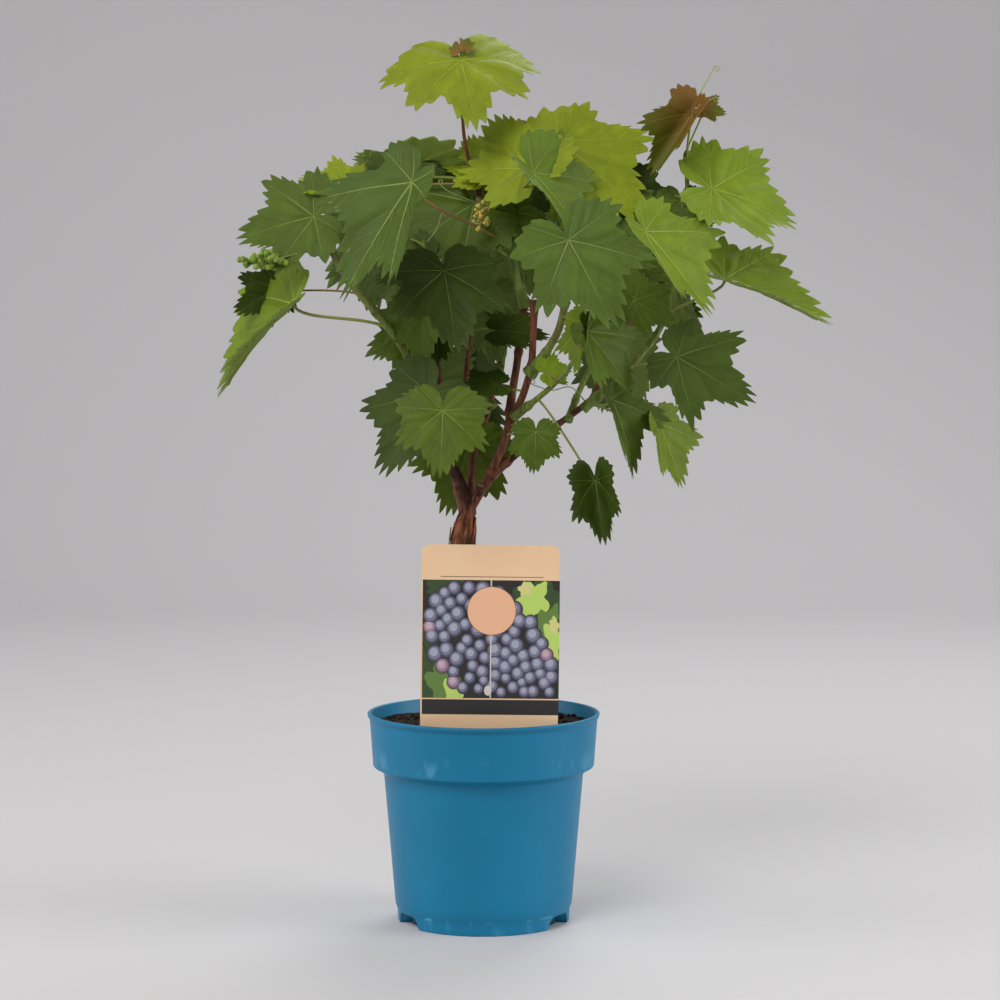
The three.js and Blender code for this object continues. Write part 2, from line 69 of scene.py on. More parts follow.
class MeshMaker:
    """Gathers points and faces, each face with its material's number, and makes one mesh piece."""

    def __init__(self):
        self.points = []
        self.faces = []
        self.paints = []
        self.count = 0

    def add(self, points, *groups):
        """Adds points, and groups of faces between them, each with its material's number."""
        points = np.asarray(points, float).reshape(-1, 3)
        for faces, paint in groups:
            faces = np.asarray(faces, int)
            self.faces.append(faces + self.count)
            self.paints.append(np.broadcast_to(paint, len(faces)))
        self.points.append(points)
        self.count += len(points)

    def make(self, name, materials, smooth=True):
        """Makes the mesh, as one piece that is linked to the scene."""
        points = np.concatenate(self.points)
        corners = np.concatenate([faces.ravel() for faces in self.faces])
        sizes = np.concatenate([np.full(len(faces), faces.shape[1]) for faces in self.faces])
        mesh = bpy.data.meshes.new(name)
        mesh.vertices.add(len(points))
        mesh.vertices.foreach_set("co", points.ravel())
        mesh.loops.add(len(corners))
        mesh.loops.foreach_set("vertex_index", corners)
        mesh.polygons.add(len(sizes))
        mesh.polygons.foreach_set("loop_start", np.cumsum(sizes) - sizes)
        mesh.polygons.foreach_set("material_index", np.concatenate(self.paints))
        mesh.polygons.foreach_set("use_smooth", np.full(len(sizes), smooth))
        for material in materials:
            mesh.materials.append(material)
        mesh.update(calc_edges=True)
        piece = bpy.data.objects.new(name, mesh)
        scene.collection.objects.link(piece)
        return piece


class Wire:
    """A shader socket that works in ordinary arithmetic: each sign adds its own Math node."""

    def __init__(self, tree, socket):
        self.tree = tree
        self.socket = socket

    def _math(self, operation, left, right):
        node = self.tree.nodes.new("ShaderNodeMath")
        node.operation = operation
        for place, value in zip(node.inputs, (left, right)):
            if isinstance(value, Wire):
                self.tree.links.new(value.socket, place)
            else:
                place.default_value = value
        return Wire(self.tree, node.outputs[0])

    def __add__(self, other):
        return self._math("ADD", self, other)

    def __radd__(self, other):
        return self._math("ADD", other, self)

    def __sub__(self, other):
        return self._math("SUBTRACT", self, other)

    def __rsub__(self, other):
        return self._math("SUBTRACT", other, self)

    def __mul__(self, other):
        return self._math("MULTIPLY", self, other)

    def __rmul__(self, other):
        return self._math("MULTIPLY", other, self)

    def above(self, level, width):
        """0 below level, rising to 1 over width."""
        ramp = (self - level) * (1.0 / width)
        return ramp._math("MINIMUM", ramp._math("MAXIMUM", ramp, 0.0), 1.0)


class Finish:
    """One material: a Principled shader, its fixed values, and the nodes that feed it."""

    def __init__(self, name, color, roughness, **fixed):
        self.material = bpy.data.materials.new(name)
        self.material.use_nodes = True
        self.tree = self.material.node_tree
        self.shader = next(n for n in self.tree.nodes if n.type == "BSDF_PRINCIPLED")
        self.shader.inputs["Base Color"].default_value = (*color, 1.0)
        self.shader.inputs["Roughness"].default_value = roughness
        for socket, value in fixed.items():
            self.shader.inputs[socket.replace("_", " ")].default_value = value

    def node(self, kind, settings=None, out=0, **sockets):
        """Adds a node. A socket is given by its name, or as i and its number where names repeat."""
        made = self.tree.nodes.new(kind)
        for key, value in (settings or {}).items():
            if key == "stops":
                ramp = made.color_ramp
                while len(ramp.elements) < len(value):
                    ramp.elements.new(0.5)
                for element, (place, shade) in zip(ramp.elements, value):
                    element.position = place
                    element.color = (*shade, 1.0)
            else:
                setattr(made, key, value)
        for key, value in sockets.items():
            place = made.inputs[int(key[1:])] if key[0] == "i" and key[1:].isdigit() else made.inputs[key]
            if isinstance(value, Wire):
                self.tree.links.new(value.socket, place)
            else:
                place.default_value = value
        return Wire(self.tree, made.outputs[out])

    def here(self, stretch=(1.0, 1.0, 1.0)):
        """The place on the piece in metres, stretched along each axis."""
        coordinates = self.node("ShaderNodeTexCoord", out="Object")
        return self.node("ShaderNodeMapping", Vector=coordinates, Scale=stretch)

    def noise(self, scale, detail=3.0, stretch=(1.0, 1.0, 1.0), rough=0.55):
        return self.node("ShaderNodeTexNoise", Vector=self.here(stretch), Scale=scale, Detail=detail,
                         Roughness=rough)

    def ramp(self, factor, *stops):
        return self.node("ShaderNodeValToRGB", {"stops": stops}, Fac=factor)

    def mix(self, factor, first, second):
        """Colours first and second, mixed by factor."""
        colors = [c if isinstance(c, Wire) else (*c, 1.0) for c in (first, second)]
        return self.node("ShaderNodeMix", {"data_type": "RGBA"}, out=2,
                         i0=factor, i6=colors[0], i7=colors[1])

    def feed(self, socket, wire):
        self.tree.links.new(wire.socket, self.shader.inputs[socket])

    def bump(self, height, distance, strength=1.0):
        raised = self.node("ShaderNodeBump", Height=height, Distance=distance, Strength=strength)
        self.feed("Normal", raised)


def soft_light(name, place, size, power, color=(1.0, 1.0, 1.0)):
    """A round area light that faces the middle of the plant."""
    lamp = bpy.data.lights.new(name, "AREA")
    lamp.shape = "DISK"
    lamp.size = size
    lamp.energy = power
    lamp.color = color
    holder = bpy.data.objects.new(name, lamp)
    scene.collection.objects.link(holder)
    holder.location = place
    aim = np.array(LIT_MIDDLE) - np.array(place)
    flat = math.hypot(aim[0], aim[1])
    holder.rotation_euler = (math.atan2(flat, -aim[2]), 0.0, math.atan2(-aim[0], aim[1]))


camera_data = bpy.data.cameras.new("camera")
camera_data.lens = LENS
camera = bpy.data.objects.new("camera", camera_data)
camera.location = CAMERA_PLACE
camera.rotation_euler = (math.radians(90.0 - CAMERA_PITCH), 0.0, 0.0)
scene.collection.objects.link(camera)
scene.camera = camera

backdrop = MeshMaker()
sweep = [(-FLOOR_REACH, 0.0), (BACKDROP_AWAY - BACKDROP_BEND, 0.0)]
for step in range(1, BEND_STEPS + 1):
    turn = math.radians(90.0 * step / BEND_STEPS)
    sweep.append((BACKDROP_AWAY - BACKDROP_BEND + BACKDROP_BEND * math.sin(turn),
                  BACKDROP_BEND * (1.0 - math.cos(turn))))
sweep.append((BACKDROP_AWAY, BACKDROP_HEIGHT))
backdrop_points = [(x, y, z) for y, z in sweep for x in (-FLOOR_REACH, FLOOR_REACH)]
backdrop_faces = [(2 * i, 2 * i + 1, 2 * i + 3, 2 * i + 2) for i in range(len(sweep) - 1)]
backdrop.add(backdrop_points, (backdrop_faces, 0))
floor_finish = Finish("pale floor", (0.58, 0.57, 0.575), 0.7)
backdrop.make("floor", [floor_finish.material])

world = bpy.data.worlds.new("studio")
world.use_nodes = True
world.node_tree.nodes["Background"].inputs["Color"].default_value = SKY
world.node_tree.nodes["Background"].inputs["Strength"].default_value = SKY_STRENGTH
scene.world = world
soft_light("key", (-0.9, -1.9, 2.3), 1.6, 44.0, (1.0, 0.985, 0.96))
soft_light("fill", (2.3, -0.5, 0.9), 1.6, 30.0)
soft_light("left_fill", (-2.3, -0.4, 0.9), 1.6, 20.0)
soft_light("rim", (0.6, 1.8, 2.2), 1.5, 25.0)
scene.view_settings.view_transform = "Standard"


# ---- Pot ---------------------------------------------------------------------------------------
# An injection-moulded polypropylene nursery pot: a tapering wall, a stepped collar with a rolled lip,
# a sunk drain channel underneath and three arched notches at the foot. Foot and collar are scuffed.

POT_SIDES = 288
POT_WALL = 1.5 * MM
POT_HUB = 0.4 * MM
NOTCH_TURNS = (-152.0, -28.0, 90.0)
NOTCH_HALF_TURN = 13.5
NOTCH_HEIGHT = 9.0 * MM
POT_BLUE = (0.003, 0.153, 0.288)
POT_WORN = (0.10, 0.33, 0.50)

pot_low, pot_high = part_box("pot")
rim = (pot_high[0] - pot_low[0]) / 2
pot_top = pot_high[2]


def arc(centre, radius, start, end, steps):
    """Points round a rounded corner, as (radius, height) pairs."""
    turns = np.radians(np.linspace(start, end, steps))
    return [(centre[0] + radius * math.cos(t), centre[1] + radius * math.sin(t)) for t in turns]


def turned(profile, sides):
    """Points and faces of a solid turned about Z from (radius, height) pairs, ends on the axis."""
    turns = np.linspace(0.0, 2 * math.pi, sides, endpoint=False)
    points = [np.stack([radius * np.cos(turns), radius * np.sin(turns), np.full(sides, height)], 1)
              for radius, height in profile]
    faces = []
    for row in range(len(profile) - 1):
        for side in range(sides):
            after = (side + 1) % sides
            faces.append((row * sides + side, row * sides + after,
                          (row + 1) * sides + after, (row + 1) * sides + side))
    return np.concatenate(points), faces


collar_top = rim - 1.6 * MM
collar_low = rim * 0.952
body_top = rim * 0.859
foot = rim * 0.739
step_low = pot_top * 0.712
step_high = pot_top * 0.752
lip_low = pot_top - 3.4 * MM
channel_edge = rim * 0.652
channel_top = 3.0 * MM
inner_floor = 5.2 * MM
outer = [
    (POT_HUB, 0.0), (0.10 * rim, 0.0), (0.30 * rim, 0.0), (0.478 * rim, 0.0),
    (0.488 * rim, 0.4 * MM), (0.497 * rim, 2.7 * MM), (0.507 * rim, channel_top), (0.62 * rim, channel_top),
    (0.634 * rim, 2.6 * MM), (0.645 * rim, 0.3 * MM), (channel_edge, 0.0), (foot - 1.2 * MM, 0.0),
    *arc((foot - 1.0 * MM, 1.0 * MM), 1.0 * MM, -80.0, 0.0, 4),
    (foot + 0.3 * MM, 5.0 * MM), (foot + 0.55 * MM, 9.4 * MM), (foot + 0.95 * MM, 10.2 * MM),
]
for share in np.linspace(0.12, 0.97, 12):
    outer.append((foot + 0.9 * MM + (body_top - foot - 0.9 * MM) * share, step_low * share))
outer += [
    (body_top, step_low - 1.2 * MM),
    *arc((body_top + 1.6 * MM, step_low - 0.4 * MM), 1.6 * MM, 180.0, 130.0, 4),
    (collar_low - 2.0 * MM, step_high - 1.8 * MM),
    *arc((collar_low - 1.8 * MM, step_high + 0.2 * MM), 1.9 * MM, -55.0, 0.0, 5),
]
for share in np.linspace(0.12, 0.92, 7):
    outer.append((collar_low + (collar_top - collar_low) * share,
                  step_high + (lip_low - step_high) * share))
outer += [(collar_top, lip_low - 0.5 * MM), (collar_top + 0.9 * MM, lip_low),
          *arc((rim - 1.1 * MM, pot_top - 1.1 * MM), 1.1 * MM, -20.0, 110.0, 8)]
inner = [
    (collar_top - POT_WALL + 0.5 * MM, pot_top - 0.15 * MM), (collar_top - POT_WALL, pot_top - 0.9 * MM),
    (collar_low - POT_WALL, step_high + 1.2 * MM), (body_top - POT_WALL, step_low + 1.2 * MM),
    (foot - POT_WALL, inner_floor), (POT_HUB, inner_floor),
]
pot_points, pot_faces = turned(outer + inner, POT_SIDES)
pot_points[:, 0] += (pot_low[0] + pot_high[0]) / 2
pot_points[:, 1] += (pot_low[1] + pot_high[1]) / 2
pot_turn = np.degrees(np.arctan2(pot_points[:, 1], pot_points[:, 0]))
pot_reach = np.hypot(pot_points[:, 0], pot_points[:, 1])
outside_drain = pot_reach > channel_edge - 0.1 * MM
in_wall = pot_reach > foot - POT_WALL - 0.2 * MM
for notch in NOTCH_TURNS:
    off = np.abs((pot_turn - notch + 180.0) % 360.0 - 180.0) / NOTCH_HALF_TURN
    arch = NOTCH_HEIGHT * np.sqrt(np.clip(1.0 - off ** 4, 0.0, 1.0))
    under_floor = pot_points[:, 2] < inner_floor - 0.1 * MM
    raised = outside_drain & (in_wall | under_floor)
    pot_points[:, 2] = np.where(raised, np.maximum(pot_points[:, 2], arch), pot_points[:, 2])
last = len(outer + inner) - 1
pot = MeshMaker()
pot.add(pot_points, (pot_faces, 0), ([range(POT_SIDES - 1, -1, -1)], 0),
        ([range(last * POT_SIDES, (last + 1) * POT_SIDES)], 0))

plastic = Finish("moulded blue plastic", POT_BLUE, 0.42, Specular_IOR_Level=0.28)
height = plastic.node("ShaderNodeSeparateXYZ", out=2, Vector=plastic.here())
cloud = plastic.noise(9.0, 4.0)
dust = plastic.noise(70.0, 6.0, (1.0, 1.0, 0.5))
scratch = plastic.noise(260.0, 3.0, (1.0, 1.0, 0.22), 0.7)
foot_band = 1.0 - height.above(9.6 * MM, 1.4 * MM)
foot_line = height.above(8.6 * MM, 0.8 * MM) * (1.0 - height.above(10.4 * MM, 0.8 * MM))
collar_band = height.above(step_high, 2.0 * MM) * (1.0 - height.above(step_high + 7.0 * MM, 9.0 * MM))
wear = (foot_band * 0.30 + foot_line * 0.75 + collar_band * 0.45) * dust.above(0.52, 0.10)
wear = wear + scratch.above(0.70, 0.05) * 0.16
tone = plastic.mix(cloud.above(0.30, 0.45), POT_BLUE, tuple(1.22 * c for c in POT_BLUE))
plastic.feed("Base Color", plastic.mix(wear, tone, POT_WORN))
plastic.feed("Roughness", 0.36 + cloud * 0.12 + wear * 0.3)
plastic.bump(scratch * 0.35 + dust * 0.5, 0.15 * MM, 0.5)
pot_piece = pot.make("nursery_pot", [plastic.material])
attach(pot_piece, "root")
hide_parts("pot")


# ---- Peat --------------------------------------------------------------------------------------
# Dark, loose peat that fills the pot to just under its rim. It is crumbly on top, with crumbs of
# different sizes lying on it.

HASH_PRIMES = (73856093, 19349663, 83492791)


def value_noise(points, size, seed):
    """Smooth random values from -1 to 1 at flat or solid points, with bumps about size across."""
    scaled = np.asarray(points, float) / size
    cell = np.floor(scaled).astype(np.int64)
    part = scaled - cell
    part = part * part * (3.0 - 2.0 * part)
    dims = scaled.shape[1]
    primes = np.array(HASH_PRIMES[:dims], dtype=np.int64)
    total = np.zeros(len(scaled))
    for corner in range(2 ** dims):
        bits = np.array([(corner >> d) & 1 for d in range(dims)])
        mixed = ((cell + bits) * primes).sum(1) + seed * 668265263
        mixed = (mixed ^ (mixed >> 13)) * 1274126177
        mixed = (mixed ^ (mixed >> 16)) & 0xFFFFFF
        weight = np.prod(np.where(bits, part, 1.0 - part), axis=1)
        total += weight * (mixed / 0x7FFFFF - 1.0)
    return total


SOIL_RINGS = 46
SOIL_COLUMNS = 150
SOIL_MIDDLE = 0.3 * MM
SOIL_SKIRT_LEVEL = 118.0 * MM
# width and height of the lumps, in mm
SOIL_LUMPS = ((22.0, 1.2), (8.0, 1.04), (3.2, 0.8))
CRUMBS = 420
CRUMB_SIZES = (0.7, 2.6)
soil_low, soil_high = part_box("soil")
soil_level = soil_high[2] - 1.0 * MM
soil_reach = (soil_high[0] - soil_low[0]) / 2 - SOIL_MIDDLE
soil_turns = np.linspace(0.0, 2 * math.pi, SOIL_COLUMNS, endpoint=False)
soil_rows = []
for ring in range(SOIL_RINGS + 1):
    reach = SOIL_MIDDLE + soil_reach * ring / SOIL_RINGS
    soil_rows.append(np.stack([reach * np.cos(soil_turns), reach * np.sin(soil_turns),
                               np.full(SOIL_COLUMNS, soil_level)], 1))
soil_points = np.concatenate(soil_rows)
for seed, (width, height) in enumerate(SOIL_LUMPS, 1):
    soil_points[:, 2] += value_noise(soil_points[:, :2], width * MM, seed) * height * MM
skirt = soil_rows[-1].copy()
skirt[:, 2] = SOIL_SKIRT_LEVEL
bottom = skirt * (0.85, 0.85, 1.0)
soil_points = np.concatenate([soil_points, skirt * (0.975, 0.975, 1.0), bottom])
soil_faces = []
for row in range(SOIL_RINGS + 2):
    for side in range(SOIL_COLUMNS):
        after = (side + 1) % SOIL_COLUMNS
        soil_faces.append(((row + 1) * SOIL_COLUMNS + side, (row + 1) * SOIL_COLUMNS + after,
                           row * SOIL_COLUMNS + after, row * SOIL_COLUMNS + side)[::-1])
soil = MeshMaker()
soil_last = (SOIL_RINGS + 3) * SOIL_COLUMNS
soil.add(soil_points, (soil_faces, 0), ([range(SOIL_COLUMNS)], 0),
         ([range(soil_last - 1, soil_last - SOIL_COLUMNS - 1, -1)], 0))

# a crumb is an uneven twenty-sided lump, about one size in radius
crumb_dice = np.random.default_rng(11)
golden = (1 + 5 ** 0.5) / 2
crumb_points = np.array([(-1, golden, 0), (1, golden, 0), (-1, -golden, 0), (1, -golden, 0),
                         (0, -1, golden), (0, 1, golden), (0, -1, -golden), (0, 1, -golden),
                         (golden, 0, -1), (golden, 0, 1), (-golden, 0, -1), (-golden, 0, 1)], float) / 1.9
crumb_faces = [(0, 11, 5), (0, 5, 1), (0, 1, 7), (0, 7, 10), (0, 10, 11), (1, 5, 9), (5, 11, 4),
               (11, 10, 2), (10, 7, 6), (7, 1, 8), (3, 9, 4), (3, 4, 2), (3, 2, 6), (3, 6, 8),
               (3, 8, 9), (4, 9, 5), (2, 4, 11), (6, 2, 10), (8, 6, 7), (9, 8, 1)]
for _ in range(CRUMBS):
    turn = crumb_dice.uniform(0.0, 2 * math.pi)
    reach = soil_reach * math.sqrt(crumb_dice.uniform(0.0, 0.90))
    size = crumb_dice.uniform(*CRUMB_SIZES) * MM
    shape = crumb_points * crumb_dice.uniform(0.6, 1.25, (12, 1)) * size * crumb_dice.uniform(0.5, 1.1, 3)
    place = (reach * math.cos(turn), reach * math.sin(turn), soil_level + 0.6 * size)
    soil.add(shape + place, (crumb_faces, 0))

peat = Finish("dark peat", (0.016, 0.011, 0.008), 0.95, Specular_IOR_Level=0.2)
peat_grain = peat.noise(420.0, 5.0)
peat.feed("Base Color", peat.ramp(peat_grain, (0.30, (0.006, 0.004, 0.003)), (0.55, (0.022, 0.015, 0.011)),
                                  (0.75, (0.060, 0.040, 0.028))))
peat.bump(peat_grain, 0.5 * MM, 0.8)
soil_piece = soil.make("peat", [peat.material], smooth=False)
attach(soil_piece, "root")
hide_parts("soil")


# ---- Label card --------------------------------------------------------------------------------
# A coated card stuck upright in the peat. The card itself is the CAD solid. Its print is a plain
# peach heading with a rule, a picture of ripe grapes, a round peach badge and a dark band.

CARD_LEAN = math.radians(0.6)
PRINT_DEPTH = 0.07 * MM
BADGE_RING = 0.45 * MM
BERRY_TRIES = 5000
PINK_EVERY = 15
card_low, card_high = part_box("label_card")
card_half = 48.6 * MM
card_top = card_high[2] - 0.6 * MM
card_middle = (card_low[0] + card_high[0]) / 2
card_front = card_low[1]
PICTURE = (-card_half, card_half, card_top - 109.3 * MM, card_top - 25.0 * MM)
BAND = (-card_half, card_half, card_top - 121.0 * MM, card_top - 110.3 * MM)
BADGE = (0.4 * MM, card_top - 46.8 * MM, 17.0 * MM)

card_print = MeshMaker()
CARD_PAINTS = {
    "peach": (0.80, 0.53, 0.31), "badge": (0.79, 0.44, 0.26), "picture": (0.012, 0.012, 0.008),
    "band": (0.012, 0.009, 0.009), "rule": (0.20, 0.10, 0.06), "thread": (0.62, 0.58, 0.54),
    "leaf_light": (0.46, 0.62, 0.13), "leaf_warm": (0.62, 0.58, 0.22), "leaf_dark": (0.030, 0.060, 0.012),
    "leaf_mid": (0.11, 0.20, 0.035),
    "grape_shadow": (0.018, 0.016, 0.026), "grape_edge": (0.065, 0.062, 0.105),
    "grape": (0.165, 0.165, 0.245), "grape_bloom": (0.34, 0.35, 0.44),
    "pink_shadow": (0.060, 0.026, 0.050), "pink_edge": (0.17, 0.095, 0.15),
    "pink": (0.34, 0.21, 0.29), "pink_bloom": (0.50, 0.36, 0.43),
}
# soft leaves in the picture: across in mm, height as a share, reach in mm, stretch, tilt, paint
PICTURE_LEAVES = (
    (-44.0, 0.20, 19.0, 2.0, 10.0, "leaf_dark"), (-33.0, 0.10, 13.0, 1.6, 25.0, "leaf_mid"),
    (-26.0, 0.05, 8.0, 1.9, 8.0, "leaf_light"), (-34.0, 0.96, 15.0, 0.5, 10.0, "leaf_dark"),
    (34.0, 0.80, 22.0, 1.0, 10.0, "leaf_dark"), (29.0, 0.83, 13.0, 1.3, -25.0, "leaf_light"),
    (41.0, 0.58, 11.0, 1.9, -8.0, "leaf_mid"), (44.0, 0.50, 7.0, 2.6, 5.0, "leaf_light"),
    (24.0, 0.93, 6.0, 0.9, 30.0, "leaf_warm"), (45.0, 0.62, 4.0, 1.6, 5.0, "leaf_warm"))
card_finishes = [Finish("card " + paint, color, 0.38, Coat_Weight=0.25, Coat_Roughness=0.25).material
                 for paint, color in CARD_PAINTS.items()]
paint_number = {paint: number for number, paint in enumerate(CARD_PAINTS)}


def on_card(across, up, proud):
    """A place on the card's face, in metres across from its middle and up from the ground."""
    across, up, proud = np.broadcast_arrays(np.asarray(across, float), np.asarray(up, float), proud)
    middle_up = card_top / 2
    x = card_middle + across * math.cos(CARD_LEAN) + (up - middle_up) * math.sin(CARD_LEAN)
    z = middle_up + (up - middle_up) * math.cos(CARD_LEAN) - across * math.sin(CARD_LEAN)
    return np.stack([x, card_front - proud, z], -1)


def stamp(outline, layer, paint):
    """A flat printed shape: a closed slab on the card, in a layer above the ones under it."""
    outline = np.array(outline)
    count = len(outline)
    face_height, back_height = PRINT_DEPTH * (layer + 1), PRINT_DEPTH * layer * 0.5
    face = on_card(*outline.T, face_height)
    back = on_card(*outline.T, back_height)
    face_centre = on_card(*outline.mean(0), face_height)
    back_centre = on_card(*outline.mean(0), back_height)
    points = np.concatenate([face, back, [face_centre], [back_centre]])
    ends = [(i, (i + 1) % count, 2 * count) for i in range(count)]
    ends += [(count + (i + 1) % count, count + i, 2 * count + 1) for i in range(count)]
    edge = [(i, count + i, count + (i + 1) % count, (i + 1) % count) for i in range(count)]
    card_print.add(points, (ends, paint_number[paint]), (edge, paint_number[paint]))


def oval(across, up, half_width, half_height, sides):
    turns = np.linspace(0.0, 2 * math.pi, sides, endpoint=False)
    return np.stack([across + half_width * np.cos(turns), up + half_height * np.sin(turns)], 1)


def block(left, right, low, high):
    return [(left, low), (right, low), (right, high), (left, high)]


def printed_grape(across, up, size, layer, kind):
    """One printed berry: a low dome whose bloom sits towards its upper left."""
    sides = 18
    rows = [(1.0, 0.0), (0.90, 0.25), (0.72, 0.50), (0.46, 0.75), (0.20, 0.95)]
    points = []
    for reach, rise in rows:
        shift = (1.0 - reach) * 0.34 * size
        ring = oval(across - shift * 0.7, up + shift, size * reach, size * reach * 1.06, sides)
        points.append(on_card(ring[:, 0], ring[:, 1], PRINT_DEPTH * (layer + 1.2 * rise)))
    points.append(on_card(across, up, PRINT_DEPTH * 0.5)[None])
    points.append(on_card(across - 0.24 * size, up + 0.34 * size, PRINT_DEPTH * (layer + 1.3))[None])
    points = np.concatenate(points)
    last = len(rows) - 1
    groups = []
    for row, shade in enumerate(("_shadow", "_edge", "", "_bloom")):
        band = [(row * sides + i, row * sides + (i + 1) % sides,
                 (row + 1) * sides + (i + 1) % sides, (row + 1) * sides + i) for i in range(sides)]
        groups.append((band, paint_number[kind + shade]))
    cap = [(last * sides + i, last * sides + (i + 1) % sides, (last + 1) * sides + 1)
           for i in range(sides)]
    back = [((i + 1) % sides, i, (last + 1) * sides) for i in range(sides)]
    groups += [(cap, paint_number[kind + "_bloom"]), (back, paint_number[kind + "_edge"])]
    card_print.add(points, *groups)


def ragged(across, up, reach, stretch, tilt, seed):
    """A leaf's outline in the picture, with soft lobes and teeth."""
    dice = np.random.default_rng(seed)
    turns = np.linspace(0.0, 2 * math.pi, 40, endpoint=False)
    reaches = reach * (0.82 + 0.16 * np.cos(5 * turns) + dice.uniform(-0.06, 0.06, 40))
    x = reaches * np.cos(turns)
    z = reaches * np.sin(turns) * stretch
    lean = math.radians(tilt)
    x, z = x * math.cos(lean) - z * math.sin(lean), x * math.sin(lean) + z * math.cos(lean)
    left, right, low, high = PICTURE
    return np.stack([np.clip(across + x, left, right), np.clip(up + z, low, high)], 1)


stamp(block(*PICTURE), 0, "picture")
stamp(block(*BAND), 0, "band")
stamp(block(-36.0 * MM, 37.0 * MM, card_top - 22.9 * MM, card_top - 22.4 * MM), 0, "rule")
picture_low, picture_high = PICTURE[2], PICTURE[3]
picture_tall = picture_high - picture_low
for order, (across, share, reach, stretch, tilt, paint) in enumerate(PICTURE_LEAVES):
    stamp(ragged(across * MM, picture_low + share * picture_tall, reach * MM, stretch, tilt, int(reach)),
          1.0 + 0.12 * order, paint)

grape_dice = np.random.default_rng(5)
berries = []
for _ in range(BERRY_TRIES):
    across, share = grape_dice.uniform(0.03, 0.97), grape_dice.uniform(0.04, 0.95)
    size = grape_dice.uniform(4.7, 6.3) * (1.0 if share > 0.2 else 0.85)
    lower = 0.55 - 1.9 * across
    upper = min(0.84 + 0.5 * across, 1.62 - 1.22 * across)
    if not lower < share < upper:
        continue
    place = np.array([PICTURE[0] / MM + across * 2 * card_half / MM, share * picture_tall / MM])
    if all(np.linalg.norm(place - other[:2]) > 0.68 * (size + other[2]) for other in berries):
        berries.append(np.array([*place, size]))
berries.sort(key=lambda berry: berry[1] + 3.0 * math.sin(berry[0]))
for order, (across, up, size) in enumerate(berries):
    size = size * MM
    across = min(max(across * MM, PICTURE[0] + size), PICTURE[1] - size)
    up = min(max(picture_low + up * MM, picture_low + size * 1.1), picture_high - size * 1.1)
    printed_grape(across, up, size, 2.6 + 0.04 * order, "pink" if order % PINK_EVERY == 7 else "grape")
stamp(block(-0.45 * MM, 0.45 * MM, picture_low, picture_high), 9, "thread")
stamp(oval(-1.8 * MM, picture_low + 5.6 * MM, 2.7 * MM, 3.6 * MM, 18), 9.4, "thread")
badge_across, badge_up, badge_reach = BADGE
ring_reach = badge_reach + BADGE_RING
stamp(oval(badge_across, badge_up, ring_reach, ring_reach, 56), 10, "rule")
stamp(oval(badge_across, badge_up, badge_reach, badge_reach, 56), 11, "badge")
card_piece = card_print.make("label_print", card_finishes, smooth=False)
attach(card_piece, "root")

card_stock = Finish("coated card", CARD_PAINTS["peach"], 0.42, Coat_Weight=0.2, Coat_Roughness=0.3)
card_fade = card_stock.noise(22.0, 3.0)
card_tone = card_stock.ramp(card_fade, (0.3, (0.78, 0.51, 0.30)), (0.7, (0.83, 0.57, 0.35)))
card_stock.feed("Base Color", card_tone)
card_stock.feed("Roughness", 0.36 + card_fade * 0.14)
card_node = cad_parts["label_card"]
card_node.data.materials.clear()
card_node.data.materials.append(card_stock.material)


# ---- Trunk -------------------------------------------------------------------------------------
# Old wood, leaning to the left and back to the fork. Its bark is brown to orange, split by deep
# dark cracks, and it peels off in long flat strips that stand free at one end. Its palest streaks,
# on the raised bark, are partly pale flakes and partly a painted highlight.

RING_GAP = 4.5 * MM
RING_POINTS = 5
# a stem's tube against its CAD radius, so that there is room for its relief
ROOM_FOR_RELIEF = 0.97


def node_points(node):
    """The corners of a CAD solid."""
    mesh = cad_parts[node].data
    points = np.empty(len(mesh.vertices) * 3)
    mesh.vertices.foreach_get("co", points)
    return points.reshape(-1, 3)


def centreline(node):
    """The middle and radius of a CAD limb, ring by ring from its low end to its high end."""
    points = node_points(node)
    middle = points.mean(0)
    axis = np.linalg.svd(points - middle, full_matrices=False)[2][0]
    along = (points - middle) @ axis
    if np.corrcoef(along, points[:, 2])[0, 1] < 0:
        along = -along
    order = np.argsort(along)
    groups = np.split(order, np.where(np.diff(along[order]) > RING_GAP)[0] + 1)
    groups = [group for group in groups if len(group) >= RING_POINTS]
    middles = np.array([points[group].mean(0) for group in groups])
    radii = np.array([np.linalg.norm(points[group] - centre, axis=1).max()
                      for group, centre in zip(groups, middles)])
    return middles, radii


def smooth_path(points, spacing):
    """Points spacing apart along a smooth curve through the given ones."""
    points = np.asarray(points, float)
    padded = np.concatenate([[2 * points[0] - points[1]], points, [2 * points[-1] - points[-2]]])
    path = []
    for i in range(len(points) - 1):
        a, b, c, d = padded[i:i + 4]
        count = max(2, int(np.linalg.norm(c - b) / spacing))
        for t in np.linspace(0.0, 1.0, count, endpoint=False):
            path.append(0.5 * (2 * b + (c - a) * t + (2 * a - 5 * b + 4 * c - d) * t ** 2
                               + (3 * b - a - 3 * c + d) * t ** 3))
    path.append(points[-1])
    return np.array(path)


def shares_along(path):
    """How far along the path each of its points is, from 0 to 1, and the path's length."""
    steps = np.linalg.norm(np.diff(path, axis=0), axis=1)
    run = np.concatenate([[0.0], np.cumsum(steps)])
    return run / run[-1], run[-1]


def tangents(path):
    """Unit vectors along the path at each point."""
    ahead = np.gradient(path, axis=0)
    return ahead / np.linalg.norm(ahead, axis=1)[:, None]


